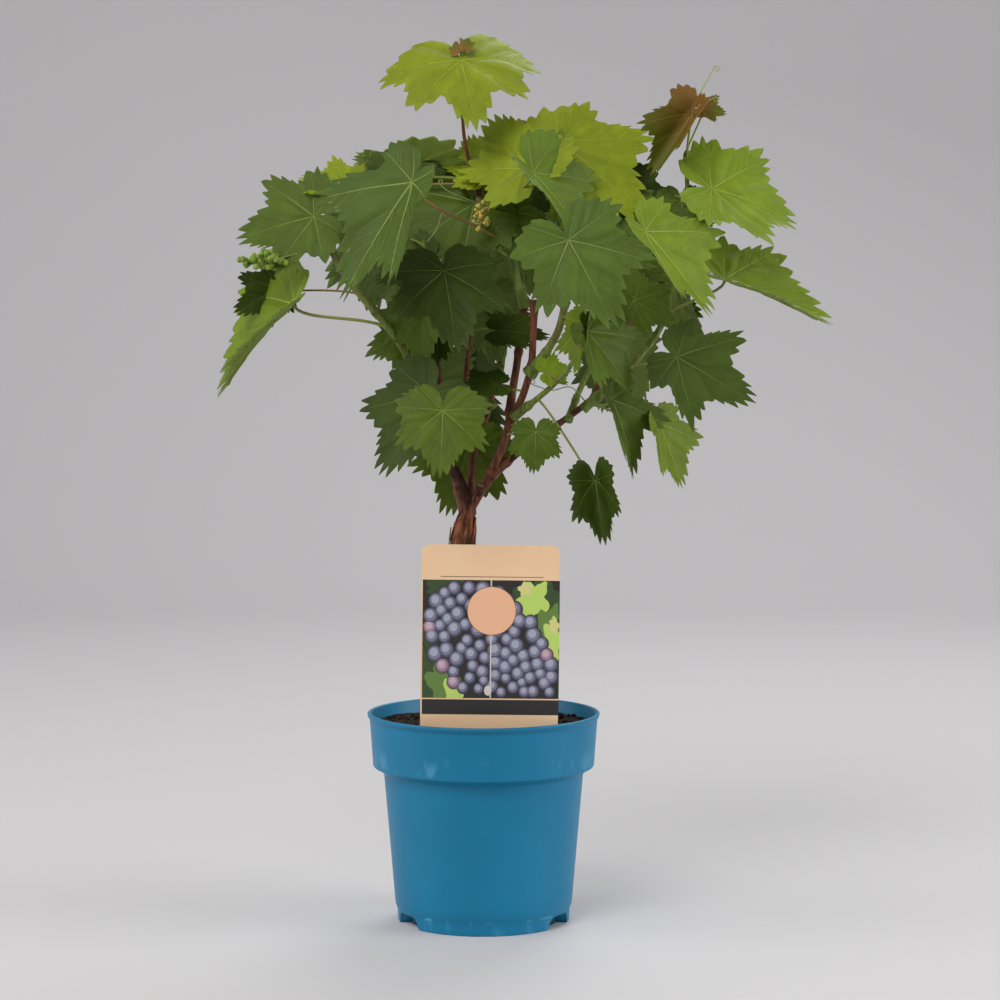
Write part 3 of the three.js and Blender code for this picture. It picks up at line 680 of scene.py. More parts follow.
def spokes(path):
    """Two unit vectors square to the path at each point, carried along it without twist."""
    ahead = tangents(path)
    start = np.cross(ahead[0], (0.0, 1.0, 0.0))
    if np.linalg.norm(start) < 0.2:
        start = np.cross(ahead[0], (1.0, 0.0, 0.0))
    first = [start / np.linalg.norm(start)]
    for direction in ahead[1:]:
        turned_on = first[-1] - direction * (first[-1] @ direction)
        first.append(turned_on / np.linalg.norm(turned_on))
    first = np.array(first)
    return first, np.cross(ahead, first)


def tube(maker, path, radii, sides, paint=0, relief=None, end_paint=None):
    """A closed tube. relief gives how far each surface point stands out, from its turn, its run
    along the path and its reach. end_paint is for the far end alone."""
    path = np.asarray(path, float)
    share, length = shares_along(path)
    radii = np.broadcast_to(radii, len(path))
    first, second = spokes(path)
    turns = np.linspace(0.0, 2 * math.pi, sides, endpoint=False)
    around = (first[:, None] * np.cos(turns)[None, :, None]
              + second[:, None] * np.sin(turns)[None, :, None])
    reach = radii[:, None] * np.ones(sides)[None]
    if relief is not None:
        run = (share * length)[:, None] * np.ones(sides)[None]
        reach = reach + relief(np.broadcast_to(turns, reach.shape), run, reach)
    rings = (path[:, None] + around * reach[..., None]).reshape(-1, 3)
    faces = []
    for row in range(len(path) - 1):
        for side in range(sides):
            after = (side + 1) % sides
            faces.append((row * sides + side, row * sides + after,
                          (row + 1) * sides + after, (row + 1) * sides + side))
    count = len(rings)
    foot_cap = [(count, (side + 1) % sides, side) for side in range(sides)]
    top_cap = [(count + 1, count - sides + side, count - sides + (side + 1) % sides)
               for side in range(sides)]
    maker.add(np.concatenate([rings, path[:1], path[-1:]]), (faces, paint), (foot_cap, paint),
              (top_cap, paint if end_paint is None else end_paint))


TRUNK_SIDES = 72
TRUNK_STEP = 1.3 * MM
BARK_GRAIN = 26.0 * MM
BARK_RELIEF = 0.8 * MM
BARK_STRIPS = 26
STRIP_ROWS = 12
STRIP_SPANS = (0.10, 0.26)
STRIP_WIDTHS = (2.2, 5.0)
STRIP_LIFTS = (0.3, 1.3)
# the four corners of a strip's section: across as a share of its width, out from the wood
STRIP_SECTION = ((-0.5, 0.0), (0.0, 0.35 * MM), (0.5, 0.0), (0.0, -0.45 * MM))
trunk_middles, trunk_radii = centreline("trunk")
trunk_top = trunk_middles[-1] + (1.0 * MM, 0.0, 4.0 * MM)
trunk_path = smooth_path(np.concatenate([trunk_middles, [trunk_top]]), TRUNK_STEP)
trunk_share, _ = shares_along(trunk_path)
trunk_radius = np.interp(trunk_share, np.linspace(0.0, 1.0, len(trunk_radii) + 1),
                         np.append(trunk_radii, trunk_radii[-1] * 0.7))


def bark_relief(turn, run, reach):
    """Plates and cracks that run along the wood, finer ridges on them, and slow swellings."""
    flat = np.stack([np.cos(turn).ravel(), np.sin(turn).ravel(), run.ravel() / BARK_GRAIN], 1)
    plates = value_noise(flat, 0.42, 21)
    ridges = value_noise(flat * (1.0, 1.0, 1.6), 0.16, 22)
    fine = value_noise(flat * (1.0, 1.0, 5.0), 0.09, 23)
    swell = value_noise(flat * (1.0, 1.0, 0.8), 1.1, 24)
    cracks = -np.clip(0.22 - np.abs(ridges), 0.0, 1.0) * 5.0
    total = plates * 0.65 + cracks * 0.75 + fine * 0.25 + swell * 1.3
    return (total * BARK_RELIEF).reshape(turn.shape)


trunk = MeshMaker()
tube(trunk, trunk_path, trunk_radius * ROOM_FOR_RELIEF, TRUNK_SIDES, 0, bark_relief)
strip_dice = np.random.default_rng(8)
trunk_first, trunk_second = spokes(trunk_path)
for strip in range(BARK_STRIPS):
    start = strip_dice.uniform(0.06, 0.80)
    span = strip_dice.uniform(*STRIP_SPANS)
    turn = strip_dice.uniform(0.0, 2 * math.pi)
    width = strip_dice.uniform(*STRIP_WIDTHS) * MM
    lift = strip_dice.uniform(*STRIP_LIFTS) * MM
    upwards = strip_dice.random() < 0.6
    strip_points = []
    for step in np.linspace(0.0, 1.0, STRIP_ROWS):
        place = np.clip(start + span * step, 0.0, 0.985) * (len(trunk_path) - 1)
        index = int(place)
        free = step if upwards else 1.0 - step
        stand = np.interp(place, np.arange(len(trunk_path)), trunk_radius) + 0.5 * MM + lift * free ** 2.2
        wide = width * (1.0 - 0.45 * free ** 3) * (0.8 + 0.2 * math.sin(9 * step + strip))
        for edge, out in STRIP_SECTION:
            angle = turn + 0.35 * step + edge * wide / stand
            spoke = trunk_first[index] * math.cos(angle) + trunk_second[index] * math.sin(angle)
            strip_points.append(trunk_path[index] + spoke * (stand + out))
    faces = []
    for row in range(STRIP_ROWS - 1):
        for side in range(4):
            after = (side + 1) % 4
            faces.append((row * 4 + side, row * 4 + after, (row + 1) * 4 + after, (row + 1) * 4 + side))
    last = 4 * (STRIP_ROWS - 1)
    faces += [(3, 2, 1, 0), (last, last + 1, last + 2, last + 3)]
    trunk.add(strip_points, (faces, 0))

bark = Finish("peeling bark", (0.13, 0.06, 0.035), 0.85, Specular_IOR_Level=0.25)
bark_streaks = bark.noise(230.0, 6.0, (1.0, 1.0, 0.24), 0.68)
bark_flakes = bark.noise(115.0, 5.0, (1.0, 1.0, 0.45), 0.6)
bark_patches = bark.noise(60.0, 3.0, (1.0, 1.0, 0.4))
# the palest stop, on the raised streaks, is partly the bark's pale flakes and partly a painted highlight
bark_tone_and_highlight = bark.ramp(bark_streaks, (0.30, (0.026, 0.011, 0.007)), (0.47, (0.140, 0.048, 0.024)),
                      (0.60, (0.300, 0.115, 0.056)), (0.78, (0.480, 0.260, 0.160)))
bark_fresh = bark.mix(bark_flakes.above(0.54, 0.08) * 0.55, bark_tone_and_highlight, (0.400, 0.135, 0.050))
bark.feed("Base Color", bark.mix(bark_patches.above(0.50, 0.12) * 0.8, bark_fresh, (0.048, 0.020, 0.013)))
bark.bump(bark_streaks, 0.9 * MM, 0.9)
trunk_piece = trunk.make("trunk_bark", [bark.material])
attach(trunk_piece, "root")
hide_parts("trunk")


# ---- Canes -------------------------------------------------------------------------------------
# Last year's wood: red-brown canes with fine grooves, swollen at each joint, where a bud is left.
# They were pruned short, so some end in a pale cut, and dried-out stubs stand by the fork.

CANE_SIDES = 28
STUB_SIDES = 20
BUD_SIDES = 10
CANE_STEP = 1.4 * MM
CANE_JOINTS = 46.0 * MM
CANE_BUD = 1.9 * MM
CANE_GRAIN = 14.0 * MM
CANE_SLIMNESS = 0.80
CANES = ["main_cane", "second_cane", "right_cane", "left_cane", "back_cane", "thin_cane", "right_cane_tip",
         "top_shoot"]
CUT_ENDS = {"main_cane", "second_cane"}
CUT_SWELLING = 13.0 * MM
JOINT_REACH = 2.6 * MM
# short pruned stubs by the fork, dried out to near black, in mm: start, end, radii
STUBS = [((-3.0, 1.0, -6.0), (-14.0, 3.0, 18.0), 4.4, 4.0),
         ((11.0, -2.0, 12.0), (33.5, 1.0, 29.0), 3.4, 1.9),
         ((4.0, -4.0, 0.0), (6.0, -9.0, 7.0), 3.2, 2.8)]
limb_paths = {}


def limb_path(node, step):
    """The smooth middle line and radius of a limb, carried a little way into what it grows from."""
    middles, radii = centreline(node)
    back = middles[0] - (middles[1] - middles[0]) * 0.35
    path = smooth_path(np.concatenate([[back], middles]), step)
    share, length = shares_along(path)
    radius = np.interp(share, np.linspace(0.0, 1.0, len(radii)), radii)
    limb_paths[node] = path
    return path, radius, share, length


def with_joints(radius, share, length, seed, spacing, swell):
    """Radii with a swelling at each joint, and the shares at which the joints are."""
    dice = np.random.default_rng(seed)
    places = np.arange(spacing * dice.uniform(0.3, 0.6), length - 6.0 * MM, spacing) / length
    out = radius.copy()
    for place in places:
        off = (share - place) * length
        out = out * (1.0 + swell * np.exp(-(off / JOINT_REACH) ** 2))
    return out, places


def bud(maker, path, radius, place, turn, size, paint):
    """A pointed bud that leans up along its cane."""
    share, _ = shares_along(path)
    index = int(np.argmin(np.abs(share - place)))
    first, second = spokes(path)
    out = first[index] * math.cos(turn) + second[index] * math.sin(turn)
    ahead = tangents(path)[index]
    start = path[index] + out * radius[index] * 0.6
    belly = start + (out * 0.9 + ahead * 0.5) * size
    end = start + (out + ahead * 1.7) * size
    line = smooth_path([start, belly, end], size * 0.25)
    swell = np.sin(np.linspace(0.35, 3.02, len(line))) * size * 0.55
    tube(maker, line, swell, BUD_SIDES, paint)


def cane_relief(seed):
    """The relief of one cane's bark: fine grooves on slow swellings, deeper where it is thicker."""
    def relief(turn, run, reach):
        flat = np.stack([np.cos(turn).ravel(), np.sin(turn).ravel(), run.ravel() / CANE_GRAIN], 1)
        grooves = value_noise(flat, 0.35, 40 + seed) * 0.10 + value_noise(flat, 1.2, 60 + seed) * 0.16
        return grooves.reshape(turn.shape) * reach / 3.0
    return relief


BARK_PAINT, CUT_PAINT, DRY_PAINT = range(3)
canes = MeshMaker()
for number, node in enumerate(CANES):
    path, radius, share, length = limb_path(node, CANE_STEP)
    radius, joints = with_joints(radius * CANE_SLIMNESS, share, length, number, CANE_JOINTS, 0.26)
    if node in CUT_ENDS:
        radius = radius * (1.0 + 0.5 * np.clip(1.0 - (1.0 - share) * length / CUT_SWELLING, 0.0, 1.0))
    tube(canes, path, radius, CANE_SIDES, BARK_PAINT, cane_relief(number),
         CUT_PAINT if node in CUT_ENDS else BARK_PAINT)
    for count, place in enumerate(joints):
        bud(canes, path, radius, place, 1.2 + count * math.pi, CANE_BUD, BARK_PAINT)
fork = trunk_path[-1]
for start, end, low_radius, high_radius in STUBS:
    line = smooth_path([fork + np.array(start) * MM, fork + np.array(end) * MM], 2.0 * MM)
    wide = np.linspace(low_radius, high_radius, len(line)) * MM
    tube(canes, line, wide, STUB_SIDES, DRY_PAINT, None, CUT_PAINT)

cane_wood = Finish("red-brown cane", (0.130, 0.034, 0.016), 0.5, Specular_IOR_Level=0.25)
cane_streaks = cane_wood.noise(330.0, 5.0, (1.0, 1.0, 0.10), 0.6)
cane_shade = cane_wood.noise(34.0, 2.0)
cane_tone = cane_wood.ramp(cane_streaks, (0.32, (0.052, 0.014, 0.008)), (0.52, (0.165, 0.053, 0.023)),
                           (0.72, (0.290, 0.105, 0.050)))
cane_wood.feed("Base Color",
               cane_wood.mix(cane_shade.above(0.52, 0.16) * 0.7, cane_tone, (0.040, 0.017, 0.012)))
cane_wood.bump(cane_streaks, 0.25 * MM, 0.6)
cut_wood = Finish("cut wood", (0.24, 0.13, 0.075), 0.9)
cut_tone = cut_wood.ramp(cut_wood.noise(900.0), (0.35, (0.10, 0.05, 0.03)), (0.65, (0.36, 0.22, 0.13)))
cut_wood.feed("Base Color", cut_tone)
dry_wood = Finish("dry stub", (0.045, 0.022, 0.014), 0.8, Specular_IOR_Level=0.2)
dry_streaks = dry_wood.noise(300.0, 4.0, (1.0, 1.0, 0.3))
dry_tone = dry_wood.ramp(dry_streaks, (0.35, (0.018, 0.009, 0.007)), (0.70, (0.110, 0.045, 0.025)))
dry_wood.feed("Base Color", dry_tone)
dry_wood.bump(dry_streaks, 0.3 * MM, 0.6)
canes_piece = canes.make("canes_bark", [cane_wood.material, cut_wood.material, dry_wood.material])
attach(canes_piece, "root")
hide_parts(*CANES)


# ---- Green shoots ------------------------------------------------------------------------------
# This year's growth: faintly ribbed green stems, flushed with brown in patches and swollen at the
# joints, where a small bud sits. Each is thinner towards its tip.

SHOOT_SIDES = 20
SHOOT_JOINTS = 40.0 * MM
SHOOT_BUD = 1.6 * MM
SHOOT_RIBS = 7.0
SHOOTS = ["crown_shoot", "centre_shoot", "front_shoot", "left_shoot", "left_upper_shoot", "right_shoot",
          "back_shoot", "back_left_shoot", "back_right_shoot"]


def rib_relief(turn, run, reach):
    """The relief of a shoot: shallow ribs along it."""
    return np.cos(turn * SHOOT_RIBS) * 0.035 * reach


shoots = MeshMaker()
for number, node in enumerate(SHOOTS):
    path, radius, share, length = limb_path(node, CANE_STEP)
    radius, joints = with_joints(radius, share, length, 20 + number, SHOOT_JOINTS, 0.30)
    tube(shoots, path, radius * ROOM_FOR_RELIEF, SHOOT_SIDES, 0, rib_relief)
    for count, place in enumerate(joints):
        bud(shoots, path, radius, place, 0.8 + count * math.pi, SHOOT_BUD, 0)

green_stem = Finish("green stem", (0.20, 0.27, 0.07), 0.48, Specular_IOR_Level=0.22,
                    Subsurface_Weight=0.12, Subsurface_Scale=0.002)
stem_streaks = green_stem.noise(380.0, 3.0, (1.0, 1.0, 0.08))
stem_flush = green_stem.noise(26.0, 2.0)
stem_tone = green_stem.ramp(stem_streaks, (0.35, (0.090, 0.130, 0.020)), (0.65, (0.200, 0.265, 0.055)))
green_stem.feed("Base Color",
                green_stem.mix(stem_flush.above(0.50, 0.18) * 0.45, stem_tone, (0.150, 0.085, 0.035)))
green_stem.bump(stem_streaks, 0.15 * MM, 0.5)
shoots_piece = shoots.make("green_shoots", [green_stem.material])
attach(shoots_piece, "root")
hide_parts(*SHOOTS)


# ---- Leaves ------------------------------------------------------------------------------------
# Broad vine leaves: a blade with three or five shallow lobes and coarse pointed teeth, puffed up
# between pale veins that branch from the stalk, and paler underneath. Every blade is a closed
# solid in its own outline, and takes one plain tint, a little lighter and darker in patches. The
# tint and its shade are partly painted light and shade, for how the leaf lies in the light, and the
# patches paint light on the puffed-up blade between the veins and shade in the hollows along them.

TEETH = 17
TOOTH_DEPTH = 0.092
# a tooth along the edge, from one cut to the next: share of its length, share of its depth
TOOTH_SHAPE = ((0.0, -0.60), (0.16, 0.10), (0.30, 0.68), (0.42, 1.0), (0.70, 0.30))
# degrees round from the midrib: where teeth end, over what turn they fade, the lobes' tips, the
# turn over which teeth are bolder there, and the places at which the outline is given
TOOTHLESS_FROM = 168.0
TEETH_FADE = 25.0
LOBE_TURNS = (0.0, 50.0, 98.0)
LOBE_SPREAD = 13.0
EDGE_TURNS = np.array([0.0, 27.0, 50.0, 74.0, 98.0, 126.0, 148.0, 165.0, 175.0, 180.0])
TOP_RINGS = np.array([0.05, 0.11, 0.18, 0.25, 0.32, 0.39, 0.46, 0.53, 0.60, 0.66, 0.72, 0.78, 0.84,
                      0.89, 0.94, 0.985, 1.0])
UNDER_RINGS = np.array([0.97, 0.82, 0.62, 0.40, 0.18])
BLADE_THICKNESS = 0.7 * MM
# in leaf lengths: the puffed-up quilting, the ripple on it, half the widths of veins at either end,
# the least that shows underneath, their least height, how deep they are rooted in the blade, the
# shortest side vein, and how far from a vein the blade is painted paler, as light on its puffed-up
# quilting
QUILT_HEIGHT = 0.019
QUILT_WIDTH = 0.050
RIPPLE_HEIGHT = 0.0025
MAIN_VEIN = (0.0115, 0.0035)
SIDE_VEIN = (0.0040, 0.0018)
SHOWS_BELOW = 0.0035
LEAST_VEIN_HEIGHT = 0.0045
VEIN_ROOT = 0.006
SHORTEST_VEIN = 0.04
PAINTED_LIGHT_FROM_VEIN = 0.055
# the main veins' turns and strengths, and the shares of their length at which side veins leave
MAIN_VEINS = ((0.0, 1.0), (50.0, 1.0), (-50.0, 1.0), (98.0, 0.8), (-98.0, 0.8), (140.0, 0.5), (-140.0, 0.5))
SIDE_VEIN_SHARES = (0.28, 0.44, 0.59, 0.73, 0.85)
# linear colours of the blade, of its veins, and of its underside. They are partly the leaves' own
# colour and partly painted light: the bright and young tints stand for the glow of backlit leaves,
# and the dark one for the shade deep in the crown
TINTS = {
    "dark": ((0.040, 0.066, 0.005), (0.140, 0.200, 0.040), (0.080, 0.120, 0.028)),
    "mid": ((0.078, 0.124, 0.008), (0.210, 0.290, 0.055), (0.130, 0.185, 0.040)),
    "cool": ((0.076, 0.125, 0.015), (0.220, 0.300, 0.075), (0.140, 0.195, 0.055)),
    "bright": ((0.160, 0.235, 0.012), (0.300, 0.380, 0.065), (0.200, 0.275, 0.045)),
    "young": ((0.195, 0.250, 0.010), (0.330, 0.385, 0.050), (0.255, 0.320, 0.035)),
    "bronze": ((0.230, 0.105, 0.025), (0.300, 0.210, 0.060), (0.170, 0.150, 0.035)),
}
BRONZE_TIP = (0.105, 0.120, 0.008)
# how bright each shade of a tint is, against the tint: lit and shaded copies of it. Which one a leaf
# takes is partly its own tone and partly painted light and shade, for how it lies in the light
TONE_AND_LIGHT_SHADES = (0.72, 0.80, 0.89, 0.99, 1.10, 1.22, 1.35)


def edge_reach(turns, lobes):
    """How far the blade reaches at each turn from its midrib, in leaf lengths, teeth left out.

    lobes are the depth of the cuts between the lobes (below 0 the whole blade is narrower), the
    size of the lobes beside the stalk, and the reach of the middle lobe."""
    depth, basal, middle = lobes
    deep, narrow = max(depth, 0.0), max(-depth, 0.0)
    reaches = np.array([
        middle, 0.76 - 0.20 * deep - 0.18 * narrow, 0.84 - 0.42 * narrow, (0.58 - 0.14 * deep) * basal,
        0.62 * basal + 0.10 * narrow, 0.49 * basal, 0.42 * basal, 0.29 * basal, 0.11, 0.05])
    turned_by = np.abs(np.degrees(turns))
    place = np.clip(np.searchsorted(EDGE_TURNS, turned_by, side="right") - 1, 0, len(EDGE_TURNS) - 2)
    share = (turned_by - EDGE_TURNS[place]) / (EDGE_TURNS[place + 1] - EDGE_TURNS[place])
    eased = 0.45 * share + 0.55 * share * share * (3.0 - 2.0 * share)
    return reaches[place] + (reaches[place + 1] - reaches[place]) * eased


def toothed_edge(lobes, dice):
    """Turns and reaches all round the blade, with pointed teeth that lean towards its tip."""
    fine = np.radians(np.linspace(0.0, 180.0, 600))
    reach = edge_reach(fine, lobes)
    steps = np.hypot(np.diff(reach * np.cos(fine)), np.diff(reach * np.sin(fine)))
    run = np.concatenate([[0.0], np.cumsum(steps)])
    turns, teeth = [0.0], [1.0 + 0.9 * TOOTH_DEPTH]
    for side in (1.0, -1.0):
        cuts = np.concatenate([[0.35], 0.35 + np.cumsum(dice.uniform(0.60, 1.40, TEETH))])
        cuts = cuts / cuts[-1] * run[-1]
        for start, end in zip(cuts[:-1], cuts[1:]):
            middle_turn = math.degrees(np.interp((start + end) / 2, run, fine))
            bold = max(math.exp(-((middle_turn - lobe) / LOBE_SPREAD) ** 2) for lobe in LOBE_TURNS)
            fading = min(1.0, max(0.0, (TOOTHLESS_FROM - middle_turn) / TEETH_FADE))
            depth = TOOTH_DEPTH * (0.62 + 0.55 * bold) * fading * dice.uniform(0.75, 1.2)
            for share, stand in TOOTH_SHAPE:
                turns.append(side * float(np.interp(start + (end - start) * share, run, fine)))
                teeth.append(1.0 + depth * stand)
    turns, teeth = np.array(turns), np.array(teeth)
    order = np.argsort(turns)
    return turns[order], edge_reach(turns[order], lobes), teeth[order]


def vein_net(lobes, dice):
    """The veins of a blade as flat lines in leaf lengths, each with half its width at either end."""
    veins = []

    def run_out(start, heading, limit):
        """The longest straight run from start that stays inside the blade."""
        for reach in np.linspace(limit, SHORTEST_VEIN, 24):
            end = start + reach * np.array([math.cos(heading), math.sin(heading)])
            if np.hypot(*end) < 0.93 * edge_reach(math.atan2(end[1], end[0]), lobes):
                return reach
        return SHORTEST_VEIN

    def line(start, heading, reach, bend, wide, thin, rows):
        """Adds a vein that turns by bend on its way, and gives its points."""
        shares = np.linspace(0.0, 1.0, rows)
        headings = heading + bend * shares
        steps = np.stack([np.cos(headings), np.sin(headings)], 1) * reach / (rows - 1)
        points = np.concatenate([[start], start + np.cumsum(steps[1:], axis=0)])
        veins.append((points, wide, thin))
        return points

    origin = np.zeros(2)
    for main, strength in MAIN_VEINS:
        side = float(np.sign(main))
        heading = math.radians(main + dice.uniform(-3.0, 3.0))
        reach = 0.95 * edge_reach(heading, lobes)
        stem = line(origin, heading, reach, -side * 0.10, MAIN_VEIN[0] * strength, MAIN_VEIN[1], 9)
        for share in SIDE_VEIN_SHARES:
            if abs(main) > 120 or (abs(main) > 60 and share == SIDE_VEIN_SHARES[-1]):
                continue
            start = stem[0] + (stem[-1] - stem[0]) * (share + dice.uniform(-0.03, 0.03))
            for way in (1.0, -1.0):
                if main and way == -side and share < 0.5:
                    continue
                off = heading + way * math.radians(dice.uniform(38.0, 50.0))
                limit = run_out(start, off, 0.50 * (1.0 - 0.45 * share))
                line(start, off, limit, -way * 0.30, SIDE_VEIN[0] * strength, SIDE_VEIN[1], 5)
    return veins


def nearest_vein(flat, veins):
    """The distance from each flat point to the nearest vein, in leaf lengths."""
    best = np.full(len(flat), np.inf)
    for points, _, _ in veins:
        start, end = points[0], points[-1]
        along = end - start
        share = np.clip(((flat - start) @ along) / (along @ along), 0.0, 1.0)
        best = np.minimum(best, np.linalg.norm(flat - start - share[:, None] * along, axis=1))
    return best


class Blade:
    """One leaf's bend: flat leaf coordinates go in, and places in the world come out.

    facing is where its top looks, in degrees round from the front and up, and turn is how far its
    tip is turned clockwise from straight up. fold lifts its halves, cup curls them up or, below 0,
    down, and droop hangs its tip."""

    def __init__(self, base, facing, turn, length, fold, cup, droop, seed):
        self.dice = np.random.default_rng(seed)
        self.base, self.length = np.asarray(base, float), length
        self.fold, self.cup, self.droop = np.radians((fold, cup, droop))
        self.wave = self.dice.uniform(0.012, 0.030)
        self.phases = self.dice.uniform(0.0, 2 * math.pi, 4)
        around, rise, turn = np.radians((facing[0], facing[1], turn))
        self.normal = np.array([math.sin(around) * math.cos(rise), -math.cos(around) * math.cos(rise),
                                math.sin(rise)])
        up = np.array([-math.sin(around) * math.sin(rise), math.cos(around) * math.sin(rise),
                       math.cos(rise)])
        right = np.cross(up, self.normal)
        self.tip = up * math.cos(turn) + right * math.sin(turn)
        self.side = np.cross(self.normal, self.tip)

    def quilt(self, flat, veins):
        """How far the blade is puffed up at each flat point."""
        gap = nearest_vein(flat, veins)
        puff = QUILT_HEIGHT * (1.0 - np.exp(-(gap / QUILT_WIDTH) ** 2))
        ripple = np.sin(flat[:, 0] * 23.0 + self.phases[2]) * np.sin(flat[:, 1] * 27.0 + self.phases[3])
        return puff + RIPPLE_HEIGHT * ripple

    def patches(self, flat, veins, shade):
        """Each face's number among the shades: in soft patches about shade, with painted light on the
        puffed-up blade between the veins and painted shade in the hollows along them or, where shade is
        None, going from the stalk to the tip."""
        u, v = flat[:, 0], flat[:, 1]
        cloud = np.sin(u * 7.0 + self.phases[0]) * np.sin(v * 6.0 + self.phases[1])
        cloud = cloud + 0.6 * np.sin(u * 15.0 - v * 9.0 + self.phases[2])
        cloud = cloud + 0.35 * np.sin(v * 31.0 + u * 17.0)
        if shade is None:
            level = 3.0 + 5.6 * (u - 0.18) - 1.8 * v + 0.45 * cloud
        else:
            # painted light and shade: lighter on the puffed-up blade away from the veins, darker in the
            # hollows along them
            level = shade + 0.75 * cloud + 0.8 * (nearest_vein(flat, veins) > PAINTED_LIGHT_FROM_VEIN) - 0.4
        return np.clip(np.rint(level), 0, len(TONE_AND_LIGHT_SHADES) - 1).astype(int)

    def bent(self, flat, lift):
        """World places of flat points, lifted off the blade, all in leaf lengths."""
        out = np.linspace(0.0, 1.3, 140)
        slope = self.fold * np.clip(out / 0.10, 0.0, 1.0) + self.cup * out
        step = out[1] - out[0]
        across = np.concatenate([[0.0], np.cumsum(np.cos(slope[:-1]) * step)])
        height = np.concatenate([[0.0], np.cumsum(np.sin(slope[:-1]) * step)])
        u, v = flat[:, 0], flat[:, 1]
        y = np.sign(v) * np.interp(np.abs(v), out, across)
        z = np.interp(np.abs(v), out, height)
        reach, turn = np.hypot(u, v), np.arctan2(v, u)
        z = z + lift + self.wave * reach ** 2 * (np.sin(3 * turn + self.phases[0])
                                                 + 0.7 * np.sin(5 * turn + self.phases[1]))
        run = np.linspace(-0.9, 1.2, 160)
        dip = -self.droop * run
        step = run[1] - run[0]
        ahead = np.cumsum(np.cos(dip)) * step
        down = np.cumsum(np.sin(dip)) * step
        zero = np.argmin(np.abs(run))
        x = np.interp(u, run, ahead - ahead[zero])
        lower = np.interp(u, run, down - down[zero])
        lean = np.interp(u, run, dip)
        local = np.stack([x - z * np.sin(lean), y, lower + z * np.cos(lean)], 1) * self.length
        return self.base + local @ np.stack([self.tip, self.side, self.normal])


COLUMNS = 2 * TEETH * len(TOOTH_SHAPE) + 1


def blade_faces():
    """Faces of every blade: the top out to the edge, then the underside back to the middle."""
    rows = len(TOP_RINGS) + len(UNDER_RINGS)
    column = np.arange(COLUMNS)
    after = (column + 1) % COLUMNS
    quads = [np.stack([row * COLUMNS + column, (row + 1) * COLUMNS + column,
                       (row + 1) * COLUMNS + after, row * COLUMNS + after], 1) for row in range(rows - 1)]
    top_fan = np.stack([np.full(COLUMNS, rows * COLUMNS), column, after], 1)
    last = (rows - 1) * COLUMNS
    under_fan = np.stack([np.full(COLUMNS, rows * COLUMNS + 1), last + after, last + column], 1)
    tops = len(TOP_RINGS) - 1
    return np.concatenate(quads[:tops]), np.concatenate(quads[tops:]), top_fan, under_fan


TOP_QUADS, UNDER_QUADS, TOP_FAN, UNDER_FAN = blade_faces()


def add_leaf(maker, blade, paints, lobes):
    """Adds one leaf. paints are the first of its top's material numbers, its own shade of them
    (None when they run from stalk to tip), and the numbers of its veins, underside and side veins."""
    turns, reach, teeth = toothed_edge(lobes, blade.dice)
    veins = vein_net(lobes, blade.dice)
    half = BLADE_THICKNESS / 2 / blade.length
    rings = np.concatenate([TOP_RINGS, UNDER_RINGS])
    flats, lifts = [], []
    for index, ring in enumerate(rings):
        soft = max(0.0, (ring - 0.55) / 0.45) ** 1.6
        out = reach * ring * (1.0 + (teeth - 1.0) * soft)
        flats.append(np.stack([out * np.cos(turns), out * np.sin(turns)], 1))
        body = half * math.sqrt(max(0.0, 1.0 - ring ** 12))
        lifts.append(np.full(COLUMNS, body if index < len(TOP_RINGS) else -body))
    flats.append(np.zeros((2, 2)))
    lifts.append(np.array([half, -half]))
    flat = np.concatenate(flats)
    lift = np.concatenate(lifts) + blade.quilt(flat, veins)
    first, shade, vein, under, faint = paints
    top_quads = first + blade.patches(flat[TOP_QUADS].mean(1), veins, shade)
    top_fan = first + blade.patches(flat[TOP_FAN].mean(1), veins, shade)
    maker.add(blade.bent(flat, lift), (TOP_QUADS, top_quads), (TOP_FAN, top_fan), (UNDER_QUADS, under),
              (UNDER_FAN, under))
    for points, wide, thin in veins:
        rows = len(points)
        along = np.gradient(points, axis=0)
        square = np.stack([-along[:, 1], along[:, 0]], 1) / np.linalg.norm(along, axis=1)[:, None]
        width = np.linspace(wide, thin, rows)[:, None]
        below = blade.quilt(points, veins)
        level = np.maximum(width[:, 0] * 0.75, LEAST_VEIN_HEIGHT)
        for way in (1.0, -1.0):
            if way < 0 and wide < SHOWS_BELOW:
                continue
            flat = np.concatenate([points - square * width, points, points + square * width])
            crest = below + way * (half + level)
            sunk = below + way * (half - VEIN_ROOT)
            lift = np.concatenate([sunk, crest, sunk])
            row = np.arange(rows - 1)
            strips = [np.stack([a * rows + row, b * rows + row, b * rows + row + 1, a * rows + row + 1], 1)
                      for a, b in ((0, 1), (1, 2), (2, 0))]
            quads = np.concatenate(strips)
            ends = np.array([(0, 2 * rows, rows), (rows - 1, 2 * rows - 1, 3 * rows - 1)])
            if way > 0:
                quads, ends = quads[:, ::-1], ends[:, ::-1]
            color = vein if wide > SIDE_VEIN[0] else faint
            maker.add(blade.bent(flat, lift), (quads, color), (ends, color))


# ---- Crown -------------------------------------------------------------------------------------
# The leaves of the crown, each held out on its own stalk from a stem close by. Most are set one
# by one on their CAD masses. Most of those at the back grow by a seeded rule: each blade turns
# outward and up to the light, with its tip hanging.

